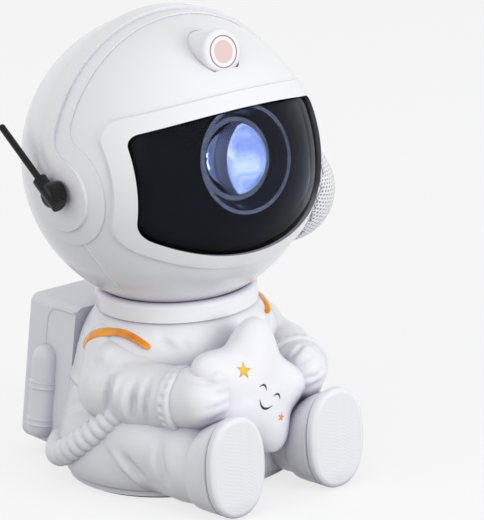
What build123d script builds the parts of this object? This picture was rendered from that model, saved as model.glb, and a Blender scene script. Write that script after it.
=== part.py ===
from build123d import *
import os
from math import acos, cos, hypot, pi, radians, sin, sqrt, tan

os.makedirs("parts", exist_ok=True)

# Driving dimensions in millimetres and degrees: +Z up, the figure faces -Y,
# its left hand is +X, and the origin is the middle of the pad it sits on.

# Seat and torso
pad_thickness = 1.5
pad_half_width = 48.0
pad_half_depth = 43.0
base_thickness = 2.5
base_rim = 1.2
torso_wall = 2.5
foot_half_width = 52.0
foot_half_depth = 47.0
hip_height = 17.0
hip_half_width = 54.5
hip_half_depth = 49.0
waist_height = 38.0
waist_half_width = 49.0
waist_half_depth = 44.5
chest_height = 58.0
chest_half_width = 43.0
chest_half_depth = 40.0
torso_top = 72.4
neck_half_width = 32.5
base_screw_x = 42.0
base_screw_y = 18.0
boss_radius = 4.0
boss_height = 14.0

# Neck and helmet
collar_height = 8.0
collar_lip_radius = 31.42
collar_rim = 3.0
collar_round = 2.4
neck_bore = 26.0
seat_gap = 0.3
seat_flange = 2.5
magnet_radius = 14.0
magnet_height = 5.0
magnet_roof = 1.4
cap_thickness = 1.5
helmet_radius = 62.0
helmet_wall = 2.4
seam_y = -15.5
seam_bend_z = 30.0
seam_top_y = 3.0

# Visor, its bezel and the liner behind it
visor_half_angle = 49.3
visor_top_angle = 30.5
visor_top_side_angle = 22.8
visor_bottom_angle = 28.4
visor_bottom_side_angle = 15.0
visor_top_corner = 6.0
visor_bottom_corner = 10.0
visor_recess = 0.5
visor_thickness = 2.4
visor_flange = 3.0
visor_flange_thickness = 1.6
visor_step = 2.0
bezel_width = 6.0
bezel_raise = 1.3
liner_thickness = 1.4

# Crown band and ears
ear_y = -8.0
ear_z = -2.0
lobe_radius = 22.0
lobe_inner_radius = 15.5
band_top_front = -5.0
band_low_front = -12.0
band_top_rear = 14.0
band_low_rear = 2.0
band_step = 6.5
band_rear_step = 1.5
band_blend = 10.0
band_flange = 0.8
band_raise = 2.2

# Forehead laser
barrel_tilt = 12.0
barrel_latitude = 51.75
barrel_proud = 4.2
barrel_radius = 9.5
barrel_length = 22.0
barrel_round = 2.5
trim_radius = 6.5
trim_depth = 2.0
laser_lens_radius = 4.5
laser_lens_depth = 1.5
laser_radius = 3.6
laser_length = 14.0

# Nebula optics on the tilted axis through the helmet centre
optics_tilt = 10.0
frame_setback = 30.6
frame_thickness = 3.0
frame_radius = 33.0
lug_angle = 60.0
lug_inset = 4.0
lug_radius = 4.0
frame_screw_length = 7.0
gear_module = 1.0
wheel_teeth = 40
pinion_teeth = 12
pressure_angle = 20.0
addendum = 0.8
dedendum = 1.1
gear_backlash = 0.3
gear_slack = 0.1
wheel_thickness = 3.0
bearing_radius = 15.0
bearing_wall = 1.6
lens_radius = 15.0
lens_dome = 10.0
lens_rim = 2.0
ring_radius = 22.5
ring_depth = 18.0
lens_seat = 9.0
led_board_radius = 13.0
led_board_thickness = 1.6
led_size = 3.4
led_spacing = 5.0
sink_radius = 16.0
sink_base = 3.0
sink_length = 16.0
fin_thickness = 1.4
fin_pitch = 4.2
post_radius = 2.2
post_inset = 0.6
motor_radius = 6.0
motor_length = 17.0
shaft_radius = 1.0
pinion_angle = 250.0

# Electronics at the back of the helmet
board_half_width = 24.0
board_half_height = 20.0
board_thickness = 1.6
board_setback = 17.6
board_post_x = 20.0
board_post_z = 15.0
button_radius = 5.0
button_pitch = 15.0
button_z = 0.0
button_proud = 1.0
button_flange = 1.4
button_flange_depth = 1.4
button_travel = 1.2
button_play = 0.3
switch_size = 6.0
switch_height = 4.0
usb_width = 9.0
usb_height = 3.3
usb_wall = 0.5
usb_z = -17.0
usb_sink = 2.0
steel_radius = 16.0
steel_thickness = 2.0

# Ear speaker
pod_beside_visor = 21.7
pod_latitude = -22.0
pod_sink = 10.0
pod_radius = 22.0
pod_wall = 1.4
pod_hole = 0.8
pod_hole_pitch = 3.4
speaker_radius = 11.0
speaker_flange = 2.5
speaker_depth = 10.0

# Antenna
antenna_forward = 4.0
antenna_up = 2.0
antenna_angle = 56.0
hub_radius = 5.2
hub_height = 6.6
antenna_stand = 4.2
sleeve_radius = 3.1
sleeve_up = 9.0
sleeve_down = 6.5
rod_radius = 1.45
rod_length = 41.0
pin_radius = 2.0

# Legs and boots
leg_x = 26.0
knee_x = 28.0
hip_x = 30.0
hip_radius = 22.0
knee_radius = 20.5
ankle_radius = 16.5
hip_y = -4.0
knee_y = -30.0
ankle_y = -52.0
leg_clear = 0.6
leg_wall = 2.5
boot_half_width = 14.0
boot_half_height = 21.6
boot_front = -68.0
sole_half_width = 13.8
sole_half_height = 21.6
sole_thickness = 6.0
sole_round = 2.2

# Arms, cuffs and gloves
arm_x = 40.0
shoulder_x = 32.0
shoulder_y = 2.0
shoulder_z = 58.0
shoulder_radius = 13.0
elbow_y = -7.0
elbow_z = 44.0
elbow_radius = 14.0
wrist_x = 31.0
wrist_y = -38.0
wrist_z = 45.0
wrist_radius = 12.0
cuff_radius = 13.2
cuff_length = 5.0
glove_x = 24.0
glove_y = -51.0
glove_z = 46.5
glove_length = 12.0
palm_radius = 13.2
finger_radius = 10.0
finger_round = 6.0
thumb_radius = 5.5
thumb_up = 10.5
thumb_forward = 5.0
stripe_back_end = (-38.4, 14.0, 56.0)
stripe_crest = (-38.6, -2.0, 67.5)
stripe_front_end = (-31.0, -23.5, 62.0)
stripe_width = 2.0
stripe_raise = 0.7

# Star
star_x = -4.5
star_y = -53.5
star_z = 46.0
star_tip_radius = 30.0
star_notch_radius = 20.5
star_turn = 75.0
star_lean = 7.0
star_thickness = 20.0
star_tip_round = 8.0
star_notch_round = 7.0
star_edge_round = 8.0

# Backpack, tanks and hoses
pack_bottom = 6.0
pack_top = 69.0
pack_top_half = 33.5
pack_bottom_half = 43.5
pack_corner = 4.5
pack_front = 27.0
pack_seam = 53.0
pack_back = 62.0
pack_wall = 2.5
pack_round = 2.5
pocket_depth = 4.0
tank_radius = 6.5
tank_low = 15.5
tank_high = 44.0
tank_y = 45.0
strap_low = 17.0
strap_high = 33.0
strap_width = 3.2
strap_raise = 0.7
hose_radius = 5.6
hose_groove = 4.6
hose_bore = 3.2
hose_ribs = 10
hose_plain = 0.12
hose_start = (-39.0, 33.5, 11.5)
hose_middle = (-55.0, 10.0, 15.0)
hose_finish = (-47.0, -15.0, 34.0)
hose_start_dir = (-0.75, -0.66, 0.0)
hose_finish_dir = (0.35, -0.6, 0.72)

# Fasteners
screw_radius = 1.25
screw_head = 2.6
screw_head_height = 1.4
screw_length = 9.0

# Fits
snug = 0.05
running = 0.05
glue = 0.1
clear = 0.3

# Worked-out positions
collar_top = torso_top + collar_height
collar_radius = collar_lip_radius + collar_rim
head_z = collar_top + sqrt((helmet_radius + seat_gap) ** 2 - collar_lip_radius ** 2)
head_centre = Vector(0, 0, head_z)
base_top = pad_thickness + base_thickness
inner_radius = helmet_radius - helmet_wall
band_outer = helmet_radius + band_raise
visor_half_width = helmet_radius * sin(radians(visor_half_angle))
visor_top = helmet_radius * sin(radians(visor_top_angle))
visor_top_side = helmet_radius * sin(radians(visor_top_side_angle))
visor_bottom = helmet_radius * sin(radians(visor_bottom_angle))
visor_bottom_side = helmet_radius * sin(radians(visor_bottom_side_angle))
frame_back = inner_radius - frame_setback
lug_ring = sqrt(inner_radius ** 2 - frame_back ** 2) - lug_inset
board_y = inner_radius - board_setback
pod_azimuth = visor_half_angle + pod_beside_visor
pod_centre = helmet_radius - pod_sink
far = helmet_radius * 1.5
head_front = Plane(origin=head_centre, x_dir=(1, 0, 0), z_dir=(0, -1, 0))
head_side = Plane(origin=head_centre, x_dir=(0, 1, 0), z_dir=(1, 0, 0))
optics_dir = Vector(0, -cos(radians(optics_tilt)), sin(radians(optics_tilt)))
optics = Plane(origin=head_centre, x_dir=(1, 0, 0), z_dir=optics_dir)
optics_axis = Axis(head_centre, optics_dir)
optics_meridian = Plane(
    origin=head_centre,
    x_dir=(1, 0, 0),
    z_dir=(0, -sin(radians(optics_tilt)), -cos(radians(optics_tilt))),
)
barrel_dir = Vector(0, -cos(radians(barrel_tilt)), sin(radians(barrel_tilt)))
barrel_face = head_centre + Vector(
    0, -cos(radians(barrel_latitude)), sin(radians(barrel_latitude))
) * (helmet_radius + barrel_proud)
barrel = Plane(origin=barrel_face, x_dir=(1, 0, 0), z_dir=barrel_dir)
pod_dir = Vector(
    cos(radians(pod_latitude)) * sin(radians(pod_azimuth)),
    -cos(radians(pod_latitude)) * cos(radians(pod_azimuth)),
    sin(radians(pod_latitude)),
)
pod = Plane(origin=head_centre, x_dir=(0, 0, 1), z_dir=pod_dir)
ear = head_centre + Vector(0, ear_y, ear_z)
pivot = ear + Vector(0, -antenna_forward, antenna_up)
pivot_right = Plane(origin=pivot, x_dir=(0, 1, 0), z_dir=(-1, 0, 0))
standing = (Align.CENTER, Align.CENTER, Align.MIN)
hanging = (Align.CENTER, Align.CENTER, Align.MAX)
sideways = (1, 0, 0)


def finish(piece, name):
    """Labels a finished piece and writes it to its own STEP file."""
    piece.label = name
    export_step(piece, f"parts/{name}.step")


def ball(radius, poles=(0, 1, 0)):
    """Sphere about the helmet centre, its poles in the visor and a button hole."""
    with BuildPart(mode=Mode.PRIVATE) as piece:
        with Locations(Plane(origin=head_centre, x_dir=(0, 0, -1), z_dir=poles)):
            Sphere(radius)
    return piece.part


# Torso, lofted through ovals and split into a front and a rear moulding

def torso_solid(shrink):
    """Torso taken in by a margin, from the seat up to the neck ring."""
    ovals = [
        (base_top, foot_half_width, foot_half_depth),
        (hip_height, hip_half_width, hip_half_depth),
        (waist_height, waist_half_width, waist_half_depth),
        (chest_height, chest_half_width, chest_half_depth),
        (torso_top - shrink, neck_half_width, neck_half_width),
    ]
    with BuildPart(mode=Mode.PRIVATE) as piece:
        for height, half_width, half_depth in ovals:
            with BuildSketch(Plane.XY.offset(height)):
                Ellipse(half_width - shrink, half_depth - shrink)
        loft()
    return piece.part


torso_outer = torso_solid(0)
base_screw_points = [
    (x * base_screw_x, y * base_screw_y) for x in (-1, 1) for y in (-1, 1)
]

with BuildPart() as torso_shell:
    add(torso_outer)
    add(torso_solid(torso_wall), mode=Mode.SUBTRACT)
    with BuildSketch(Plane.XY.offset(base_top)):
        with Locations(*base_screw_points):
            Circle(boss_radius)
    extrude(amount=boss_height)
    add(torso_outer, mode=Mode.INTERSECT)
    with Locations(*[(x, y, base_top) for x, y in base_screw_points]):
        Cylinder(screw_radius, screw_length, align=standing, mode=Mode.SUBTRACT)
    with Locations((0, 0, torso_top)):
        Cylinder(neck_bore, 4 * torso_wall, mode=Mode.SUBTRACT)

with BuildPart() as torso_front:
    add(torso_shell.part)
    split(bisect_by=Plane.XZ, keep=Keep.TOP)
finish(torso_front.part, "torso_front")

with BuildPart() as torso_rear:
    add(torso_shell.part)
    split(bisect_by=Plane.XZ, keep=Keep.BOTTOM)
finish(torso_rear.part, "torso_rear")

# Base plate closing the seat, its screws and the rubber pad it rests on

with BuildPart() as base_plate:
    with BuildSketch(Plane.XY.offset(pad_thickness)):
        Ellipse(foot_half_width - base_rim, foot_half_depth - base_rim)
    extrude(amount=base_thickness)
    with Locations(*[(x, y, pad_thickness) for x, y in base_screw_points]):
        Cylinder(screw_radius + snug, base_thickness, align=standing, mode=Mode.SUBTRACT)
        Cylinder(screw_head + snug, screw_head_height, align=standing, mode=Mode.SUBTRACT)
finish(base_plate.part, "base_plate")

with BuildPart() as base_screws:
    with Locations(*[(x, y, pad_thickness) for x, y in base_screw_points]):
        Cylinder(screw_head, screw_head_height, align=standing)
        Cylinder(screw_radius, screw_length, align=standing)
finish(base_screws.part, "base_screws")

with BuildPart() as base_pad:
    with BuildSketch(Plane.XY):
        Ellipse(pad_half_width, pad_half_depth)
    extrude(amount=pad_thickness)
finish(base_pad.part, "base_pad")

# Neck collar, dished seat, and the magnet and cap under it

collar_bore = neck_bore + glue
bowl_radius = helmet_radius + seat_gap
bowl_middle = (collar_bore + collar_lip_radius) / 2

with BuildPart() as neck_collar:
    with BuildSketch(Plane.XZ) as collar_section:
        with BuildLine():
            lip = (collar_lip_radius, collar_top)
            dip = (collar_bore, head_z - sqrt(bowl_radius ** 2 - collar_bore ** 2))
            Polyline(
                lip, (collar_radius, collar_top), (collar_radius, torso_top),
                (collar_bore, torso_top), dip,
            )
            ThreePointArc(
                dip, (bowl_middle, head_z - sqrt(bowl_radius ** 2 - bowl_middle ** 2)), lip,
            )
        make_face()
        corner = collar_section.vertices().group_by(Axis.Y)[-1].sort_by(Axis.X)[-1]
        fillet(corner, collar_round)
    revolve(axis=Axis.Z)
finish(neck_collar.part, "neck_collar")

seat_floor = head_z - helmet_radius - seat_gap
magnet_top = seat_floor - magnet_roof
seat_bottom = magnet_top - magnet_height - running
flange_top = torso_top - torso_wall - snug

seat_radius = neck_bore - snug
pocket_radius = magnet_radius + running

with BuildPart() as neck_seat:
    with BuildSketch(Plane.XZ):
        with BuildLine():
            seat_lip = (seat_radius, head_z - sqrt(bowl_radius ** 2 - seat_radius ** 2))
            Polyline(
                (0, seat_floor), (0, magnet_top), (pocket_radius, magnet_top),
                (pocket_radius, seat_bottom), (seat_radius, seat_bottom),
                (seat_radius, flange_top - seat_flange),
                (neck_bore + seat_flange, flange_top - seat_flange),
                (neck_bore + seat_flange, flange_top), (seat_radius, flange_top), seat_lip,
            )
            ThreePointArc(
                seat_lip,
                (seat_radius / 2, head_z - sqrt(bowl_radius ** 2 - seat_radius ** 2 / 4)),
                (0, seat_floor),
            )
        make_face()
    revolve(axis=Axis.Z)
finish(neck_seat.part, "neck_seat")

with BuildPart() as neck_magnet:
    with Locations((0, 0, magnet_top - running / 2)):
        Cylinder(magnet_radius, magnet_height - running, align=hanging)
finish(neck_magnet.part, "neck_magnet")

with BuildPart() as magnet_cap:
    with Locations((0, 0, seat_bottom)):
        Cylinder(magnet_radius + torso_wall, cap_thickness, align=hanging)
finish(magnet_cap.part, "magnet_cap")


# Helmet halves, parted on a line that runs up under the crown band

def visor_outline(grow):
    """Outline of the visor opening seen from the front, grown by a margin."""
    with BuildSketch(head_front, mode=Mode.PRIVATE) as outline:
        with BuildLine():
            ThreePointArc(
                (-visor_half_width, visor_top_side), (0, visor_top),
                (visor_half_width, visor_top_side),
            )
            Line((visor_half_width, visor_top_side), (visor_half_width, -visor_bottom_side))
            ThreePointArc(
                (visor_half_width, -visor_bottom_side), (0, -visor_bottom),
                (-visor_half_width, -visor_bottom_side),
            )
            Line((-visor_half_width, -visor_bottom_side), (-visor_half_width, visor_top_side))
        make_face()
        fillet(outline.vertices().group_by(Axis.Y)[-1], visor_top_corner)
        fillet(outline.vertices().group_by(Axis.Y)[0], visor_bottom_corner)
        if grow:
            offset(amount=grow)
    return outline.sketch


def helmet_region(side):
    """Solid on one side of the helmet's parting line, -1 front and 1 rear."""
    line = [(seam_y, -far), (seam_y, 0), (seam_top_y, seam_bend_z), (seam_top_y, far)]
    with BuildPart(mode=Mode.PRIVATE) as region:
        with BuildSketch(head_side):
            Polygon(*line, (side * far, far), (side * far, -far))
        extrude(amount=far, both=True)
    return region.part


def lug_points():
    """Places of the four frame screws on the optics plane."""
    across = lug_ring * cos(radians(lug_angle))
    upward = lug_ring * sin(radians(lug_angle))
    return [(x * across, y * upward) for x in (-1, 1) for y in (-1, 1)]


frame_front = frame_back + frame_thickness

with BuildPart() as bezel:
    add(ball(helmet_radius + bezel_raise))
    extrude(visor_outline(bezel_width), amount=far, mode=Mode.INTERSECT)

with BuildPart() as bezel_room:
    add(ball(helmet_radius + bezel_raise + snug))
    extrude(visor_outline(bezel_width + glue), amount=far, mode=Mode.INTERSECT)

with BuildPart() as lug_bosses:
    with BuildSketch(optics.offset(frame_front)):
        with Locations(*lug_points()):
            Circle(lug_radius)
    extrude(amount=helmet_radius - frame_front)
    add(ball(helmet_radius - helmet_wall / 2), mode=Mode.INTERSECT)

with BuildPart() as helmet_front:
    add(ball(helmet_radius))
    add(helmet_region(-1), mode=Mode.INTERSECT)
    add(bezel.part)
    add(ball(inner_radius), mode=Mode.SUBTRACT)
    add(lug_bosses.part)
    with BuildSketch(optics.offset(frame_front)):
        with Locations(*lug_points()):
            Circle(screw_radius)
    extrude(amount=frame_screw_length - frame_thickness, mode=Mode.SUBTRACT)
    extrude(visor_outline(0), amount=far, mode=Mode.SUBTRACT)
    with Locations(barrel):
        Cylinder(barrel_radius + glue, barrel_length, align=hanging, mode=Mode.SUBTRACT)
    with Locations(pod.offset(inner_radius)):
        Cylinder(speaker_radius + glue, far - inner_radius, mode=Mode.SUBTRACT)
finish(helmet_front.part, "helmet_front")

board_front = board_y + board_thickness
board_posts = [
    (x * board_post_x, z * board_post_z) for x in (-1, 1) for z in (-1, 1)
]
button_points = [(step * button_pitch, button_z) for step in (-1, 0, 1)]
head_rear = Plane(origin=head_centre, x_dir=(-1, 0, 0), z_dir=(0, 1, 0))

with BuildPart() as board_mounts:
    with BuildSketch(head_rear.offset(board_front)):
        with Locations(*board_posts):
            Circle(post_radius)
    extrude(amount=helmet_radius - board_front)
    add(ball(helmet_radius - helmet_wall / 2), mode=Mode.INTERSECT)

with BuildPart() as helmet_rear:
    add(ball(helmet_radius))
    add(helmet_region(1), mode=Mode.INTERSECT)
    add(ball(inner_radius), mode=Mode.SUBTRACT)
    add(board_mounts.part)
    with BuildSketch(head_rear.offset(board_front)):
        with Locations(*button_points):
            Circle(button_radius + clear)
        with Locations((0, usb_z)):
            SlotOverall(usb_width + 2 * glue, usb_height + 2 * glue)
    extrude(amount=helmet_radius, mode=Mode.SUBTRACT)
    with Locations(pod.offset(inner_radius)):
        Cylinder(speaker_radius + glue, far - inner_radius, mode=Mode.SUBTRACT)
    with Locations(pivot_right.offset(inner_radius)):
        Cylinder(pin_radius + running, far - inner_radius, mode=Mode.SUBTRACT)
    add(bezel_room.part, mode=Mode.SUBTRACT)
finish(helmet_rear.part, "helmet_rear")


# Crown band with a round lobe over each ear

def band_outline(front, rear, radius, blend):
    """Side outline of the band: a strap over the crown joined to a round lobe."""
    with BuildSketch(head_side, mode=Mode.PRIVATE) as outline:
        with Locations((ear_y, ear_z)):
            Circle(radius)
        Polygon(
            (band_low_front + front, 0), (band_low_rear - rear, 0),
            (band_top_rear - rear, far), (band_top_front + front, far),
        )
        corners = outline.vertices().group_by(Axis.Y)[0:-1]
        fillet([v for group in corners for v in group if v.Y > ear_z + radius / 2], blend)
    return outline.sketch


with BuildPart() as band_ridge:
    add(ball(band_outer))
    extrude(
        band_outline(band_step, band_rear_step, lobe_inner_radius, band_blend),
        amount=far, both=True, mode=Mode.INTERSECT,
    )

with BuildPart() as crown_band:
    add(ball(helmet_radius + band_flange))
    extrude(band_outline(0, 0, lobe_radius, band_blend), amount=far, both=True, mode=Mode.INTERSECT)
    add(band_ridge.part)
    add(ball(helmet_radius + snug), mode=Mode.SUBTRACT)
    with Locations(pivot_right.offset(inner_radius)):
        Cylinder(pin_radius + running, far - inner_radius, mode=Mode.SUBTRACT)
    with Locations(pod.offset(pod_centre)):
        Sphere(pod_radius + glue, mode=Mode.SUBTRACT)
    add(bezel_room.part, mode=Mode.SUBTRACT)
finish(crown_band.part, "crown_band")

# Visor with a glue flange behind the opening, and the black liner behind it

flange_outer = inner_radius - snug
flange_inner = flange_outer - visor_flange_thickness

with BuildPart() as visor_rim:
    add(ball(flange_outer, sideways))
    extrude(visor_outline(visor_flange), amount=far, mode=Mode.INTERSECT)
    add(ball(flange_inner, sideways), mode=Mode.SUBTRACT)
    extrude(visor_outline(-visor_step), amount=far, mode=Mode.SUBTRACT)
    with Locations(pod):
        Cylinder(speaker_radius + clear, far, align=standing, mode=Mode.SUBTRACT)

with BuildPart() as visor:
    add(ball(helmet_radius - visor_recess, sideways))
    extrude(visor_outline(-glue), amount=far, mode=Mode.INTERSECT)
    add(ball(helmet_radius - visor_recess - visor_thickness, sideways), mode=Mode.SUBTRACT)
    add(visor_rim.part)
finish(visor.part, "visor")

with BuildPart() as visor_liner:
    add(ball(flange_inner - snug, sideways))
    extrude(visor_outline(visor_flange), amount=far, mode=Mode.INTERSECT)
    add(ball(flange_inner - snug - liner_thickness, sideways), mode=Mode.SUBTRACT)
    with Locations(optics):
        Cylinder(ring_radius + snug, far, align=standing, mode=Mode.SUBTRACT)
    with Locations(pod):
        Cylinder(speaker_radius + clear, far, align=standing, mode=Mode.SUBTRACT)
finish(visor_liner.part, "visor_liner")

# Forehead laser: barrel, trim ring, lens and diode module

with BuildPart() as laser_barrel:
    with Locations(barrel):
        Cylinder(barrel_radius, barrel_length, align=hanging)
    fillet(laser_barrel.edges().sort_by(Axis(barrel_face, barrel_dir))[-1], barrel_round)
    with Locations(barrel):
        Cylinder(trim_radius + snug, trim_depth, align=hanging, mode=Mode.SUBTRACT)
        Cylinder(laser_radius + snug, barrel_length, align=hanging, mode=Mode.SUBTRACT)
finish(laser_barrel.part, "laser_barrel")

with BuildPart() as laser_trim:
    with Locations(barrel):
        Cylinder(trim_radius, trim_depth, align=hanging)
        Cylinder(laser_lens_radius + snug, laser_lens_depth, align=hanging, mode=Mode.SUBTRACT)
        Cylinder(laser_radius, trim_depth, align=hanging, mode=Mode.SUBTRACT)
finish(laser_trim.part, "laser_trim")

with BuildPart() as laser_lens:
    with Locations(barrel):
        Cylinder(laser_lens_radius, laser_lens_depth, align=hanging)
finish(laser_lens.part, "laser_lens")

with BuildPart() as laser_module:
    with Locations(barrel.offset(-trim_depth - clear)):
        Cylinder(laser_radius, laser_length, align=hanging)
finish(laser_module.part, "laser_module")


# Gears of the nebula drive

def gear_outline(plane, teeth, turn):
    """Involute gear outline on a plane, one tooth centred on a given angle."""
    pitch = gear_module * teeth / 2
    base = pitch * cos(radians(pressure_angle))
    root = pitch - dedendum * gear_module
    tip = pitch + addendum * gear_module
    roll = tan(radians(pressure_angle)) - radians(pressure_angle)
    half = (pi * gear_module / 2 - gear_backlash) / (2 * pitch) + roll
    low = max(base, root)
    steps = 4
    flank = []
    for step in range(steps + 1):
        reach = low + (tip - low) * step / steps
        lean = acos(base / reach)
        flank.append((reach, half - tan(lean) + lean))
    foot = (root, flank[0][1])
    side = [foot] + flank if root < base else flank
    points = []
    for tooth in range(teeth):
        middle = radians(turn) + 2 * pi * tooth / teeth
        points += [(r * cos(middle - a), r * sin(middle - a)) for r, a in side]
        points += [(r * cos(middle + a), r * sin(middle + a)) for r, a in reversed(side)]
    with BuildSketch(plane, mode=Mode.PRIVATE) as outline:
        Polygon(*points)
    return outline.sketch


wheel_back = frame_front + clear
wheel_front = wheel_back + wheel_thickness
gear_distance = gear_module * (wheel_teeth + pinion_teeth) / 2 + gear_slack
pinion_x = gear_distance * cos(radians(pinion_angle))
pinion_y = gear_distance * sin(radians(pinion_angle))
pinion_phase = pinion_angle + 180 + 180 / pinion_teeth

with BuildPart() as nebula_wheel:
    extrude(
        gear_outline(optics.offset(wheel_back), wheel_teeth, pinion_angle),
        amount=wheel_thickness,
    )
    with Locations(optics.offset(wheel_back)):
        Cylinder(bearing_radius, frame_thickness + clear, align=hanging)
    with Locations(optics.offset(frame_back)):
        Cylinder(
            bearing_radius - bearing_wall, wheel_front - frame_back - wheel_thickness / 2,
            align=standing, mode=Mode.SUBTRACT,
        )
finish(nebula_wheel.part, "nebula_wheel")

pinion_plane = Plane(
    origin=optics.from_local_coords((pinion_x, pinion_y, wheel_back)),
    x_dir=(1, 0, 0), z_dir=optics_dir,
)
motor_face = frame_back - wheel_back

with BuildPart() as drive_pinion:
    extrude(gear_outline(pinion_plane, pinion_teeth, pinion_phase), amount=wheel_thickness)
    with Locations(pinion_plane.offset(motor_face - motor_length / 2)):
        Cylinder(shaft_radius, motor_length / 2 - motor_face, align=standing)
finish(drive_pinion.part, "drive_pinion")

with BuildPart() as drive_motor:
    with Locations(pinion_plane.offset(motor_face)):
        Cylinder(motor_radius, motor_length, align=hanging)
        Cylinder(shaft_radius + running, motor_length / 2 + clear, align=hanging, mode=Mode.SUBTRACT)
finish(drive_motor.part, "drive_motor")

# Optics frame that carries the wheel, the motor, the lens ring and the heat sink

sink_front = frame_back - led_board_thickness - clear
post_ring = sink_radius - post_radius - post_inset
sink_posts = [
    (post_ring * cos(radians(a)), post_ring * sin(radians(a)))
    for a in (30, 150, 270)
]

with BuildPart() as optics_frame:
    with BuildSketch(optics.offset(frame_back)) as frame_sketch:
        Circle(frame_radius)
        with Locations(*lug_points()):
            Circle(lug_radius)
        make_hull()
    extrude(amount=frame_thickness)
    add(ball(inner_radius - clear), mode=Mode.INTERSECT)
    with BuildSketch(optics.offset(frame_back)):
        Circle(bearing_radius + running)
        with Locations((pinion_x, pinion_y)):
            Circle(shaft_radius + clear)
        with Locations(*lug_points()):
            Circle(screw_radius + snug)
    extrude(amount=frame_thickness, mode=Mode.SUBTRACT)
    with BuildSketch(optics.offset(frame_front)):
        Circle(ring_radius)
        Circle(ring_radius - bearing_wall, mode=Mode.SUBTRACT)
        with Locations((pinion_x, pinion_y)):
            Circle(gear_module * pinion_teeth / 2 + 2 * gear_module, mode=Mode.SUBTRACT)
    extrude(amount=wheel_thickness + 2 * clear)
    with Locations(barrel):
        Cylinder(barrel_radius + clear, barrel_length + frame_thickness, align=hanging, mode=Mode.SUBTRACT)
    with Locations(pod):
        Cylinder(speaker_radius + clear, far, align=standing, mode=Mode.SUBTRACT)
finish(optics_frame.part, "optics_frame")

ring_back = wheel_front + clear
lens_back = ring_back + lens_seat
ring_front = ring_back + ring_depth
lens_front = lens_back + lens_rim

with BuildPart() as lens_ring:
    with BuildSketch(optics_meridian):
        Polygon(
            (lens_radius - lens_rim, ring_back), (ring_radius, ring_back),
            (ring_radius, ring_front), (ring_radius - bearing_wall, ring_front),
            (lens_radius + lens_rim, lens_front), (lens_radius + snug, lens_front),
            (lens_radius + snug, lens_back), (lens_radius - lens_rim, lens_back),
        )
    revolve(axis=optics_axis)
finish(lens_ring.part, "lens_ring")

with BuildPart() as nebula_lens:
    with BuildSketch(optics_meridian):
        with BuildLine():
            Polyline((0, lens_front + lens_dome), (0, lens_back), (lens_radius, lens_back), (lens_radius, lens_front))
            RadiusArc(
                (lens_radius, lens_front), (0, lens_front + lens_dome),
                -(lens_radius ** 2 + lens_dome ** 2) / (2 * lens_dome),
            )
        make_face()
    revolve(axis=optics_axis)
finish(nebula_lens.part, "nebula_lens")

with BuildPart() as heat_sink:
    with Locations(optics.offset(sink_front)):
        Cylinder(sink_radius, sink_base, align=hanging)
    with BuildSketch(optics.offset(sink_front - sink_base)):
        with GridLocations(fin_pitch, 0, 7, 1):
            Rectangle(fin_thickness, 2 * sink_radius)
        Circle(sink_radius, mode=Mode.INTERSECT)
    extrude(amount=sink_base - sink_length)
    with BuildSketch(optics.offset(sink_front)):
        with Locations(*sink_posts):
            Circle(post_radius)
    extrude(amount=frame_back - sink_front)
    with Locations(pinion_plane.offset(motor_face)):
        Cylinder(motor_radius + clear, 2 * motor_length, mode=Mode.SUBTRACT)
finish(heat_sink.part, "heat_sink")

with BuildPart() as led_board:
    with Locations(optics.offset(sink_front)):
        Cylinder(led_board_radius, led_board_thickness, align=standing)
    with Locations(optics.offset(sink_front + led_board_thickness)):
        with GridLocations(led_spacing, led_spacing, 2, 2):
            Box(led_size, led_size, led_board_thickness, align=standing)
    with BuildSketch(optics.offset(sink_front)):
        with Locations(*sink_posts):
            Circle(post_radius + glue)
    extrude(amount=led_board_thickness, mode=Mode.SUBTRACT)
finish(led_board.part, "led_board")

with BuildPart() as frame_screws:
    with BuildSketch(optics.offset(frame_back)):
        with Locations(*lug_points()):
            Circle(screw_radius)
    extrude(amount=frame_screw_length)
    with BuildSketch(optics.offset(frame_back)):
        with Locations(*lug_points()):
            Circle(screw_head)
    extrude(amount=-screw_head_height)
finish(frame_screws.part, "frame_screws")

# Main board with its switches, the three push buttons and the power socket

with BuildPart() as main_board:
    with BuildSketch(head_rear.offset(board_y)):
        Rectangle(2 * board_half_width, 2 * board_half_height)
    extrude(amount=board_thickness)
    with BuildSketch(head_rear.offset(board_front)):
        with Locations(*button_points):
            Rectangle(switch_size, switch_size)
    extrude(amount=switch_height)
finish(main_board.part, "main_board")


def push_button(x):
    """Button cap in its hole, with an inner flange and a stem to its switch."""
    across = hypot(x, button_z)
    top = sqrt(helmet_radius ** 2 - across ** 2) + button_proud
    flange = sqrt(inner_radius ** 2 - (across + button_radius + button_flange) ** 2) - button_play
    back = board_front + switch_height + button_travel + button_play
    with BuildPart(mode=Mode.PRIVATE) as piece:
        with BuildSketch(head_rear.offset(flange - button_flange_depth)):
            with Locations((-x, button_z)):
                Circle(button_radius + button_flange)
        extrude(amount=button_flange_depth)
        with BuildSketch(head_rear.offset(flange)):
            with Locations((-x, button_z)):
                Circle(button_radius)
        extrude(amount=top - flange)
        fillet(piece.edges().group_by(Axis.Y)[-1], button_proud)
        with BuildSketch(head_rear.offset(back)):
            with Locations((-x, button_z)):
                Circle(post_radius)
        extrude(amount=flange - back)
    return piece.part


finish(push_button(-button_pitch), "laser_button")
finish(push_button(0), "power_button")
finish(push_button(button_pitch), "nebula_button")

usb_mouth = sqrt(helmet_radius ** 2 - usb_z ** 2) - usb_sink

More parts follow.
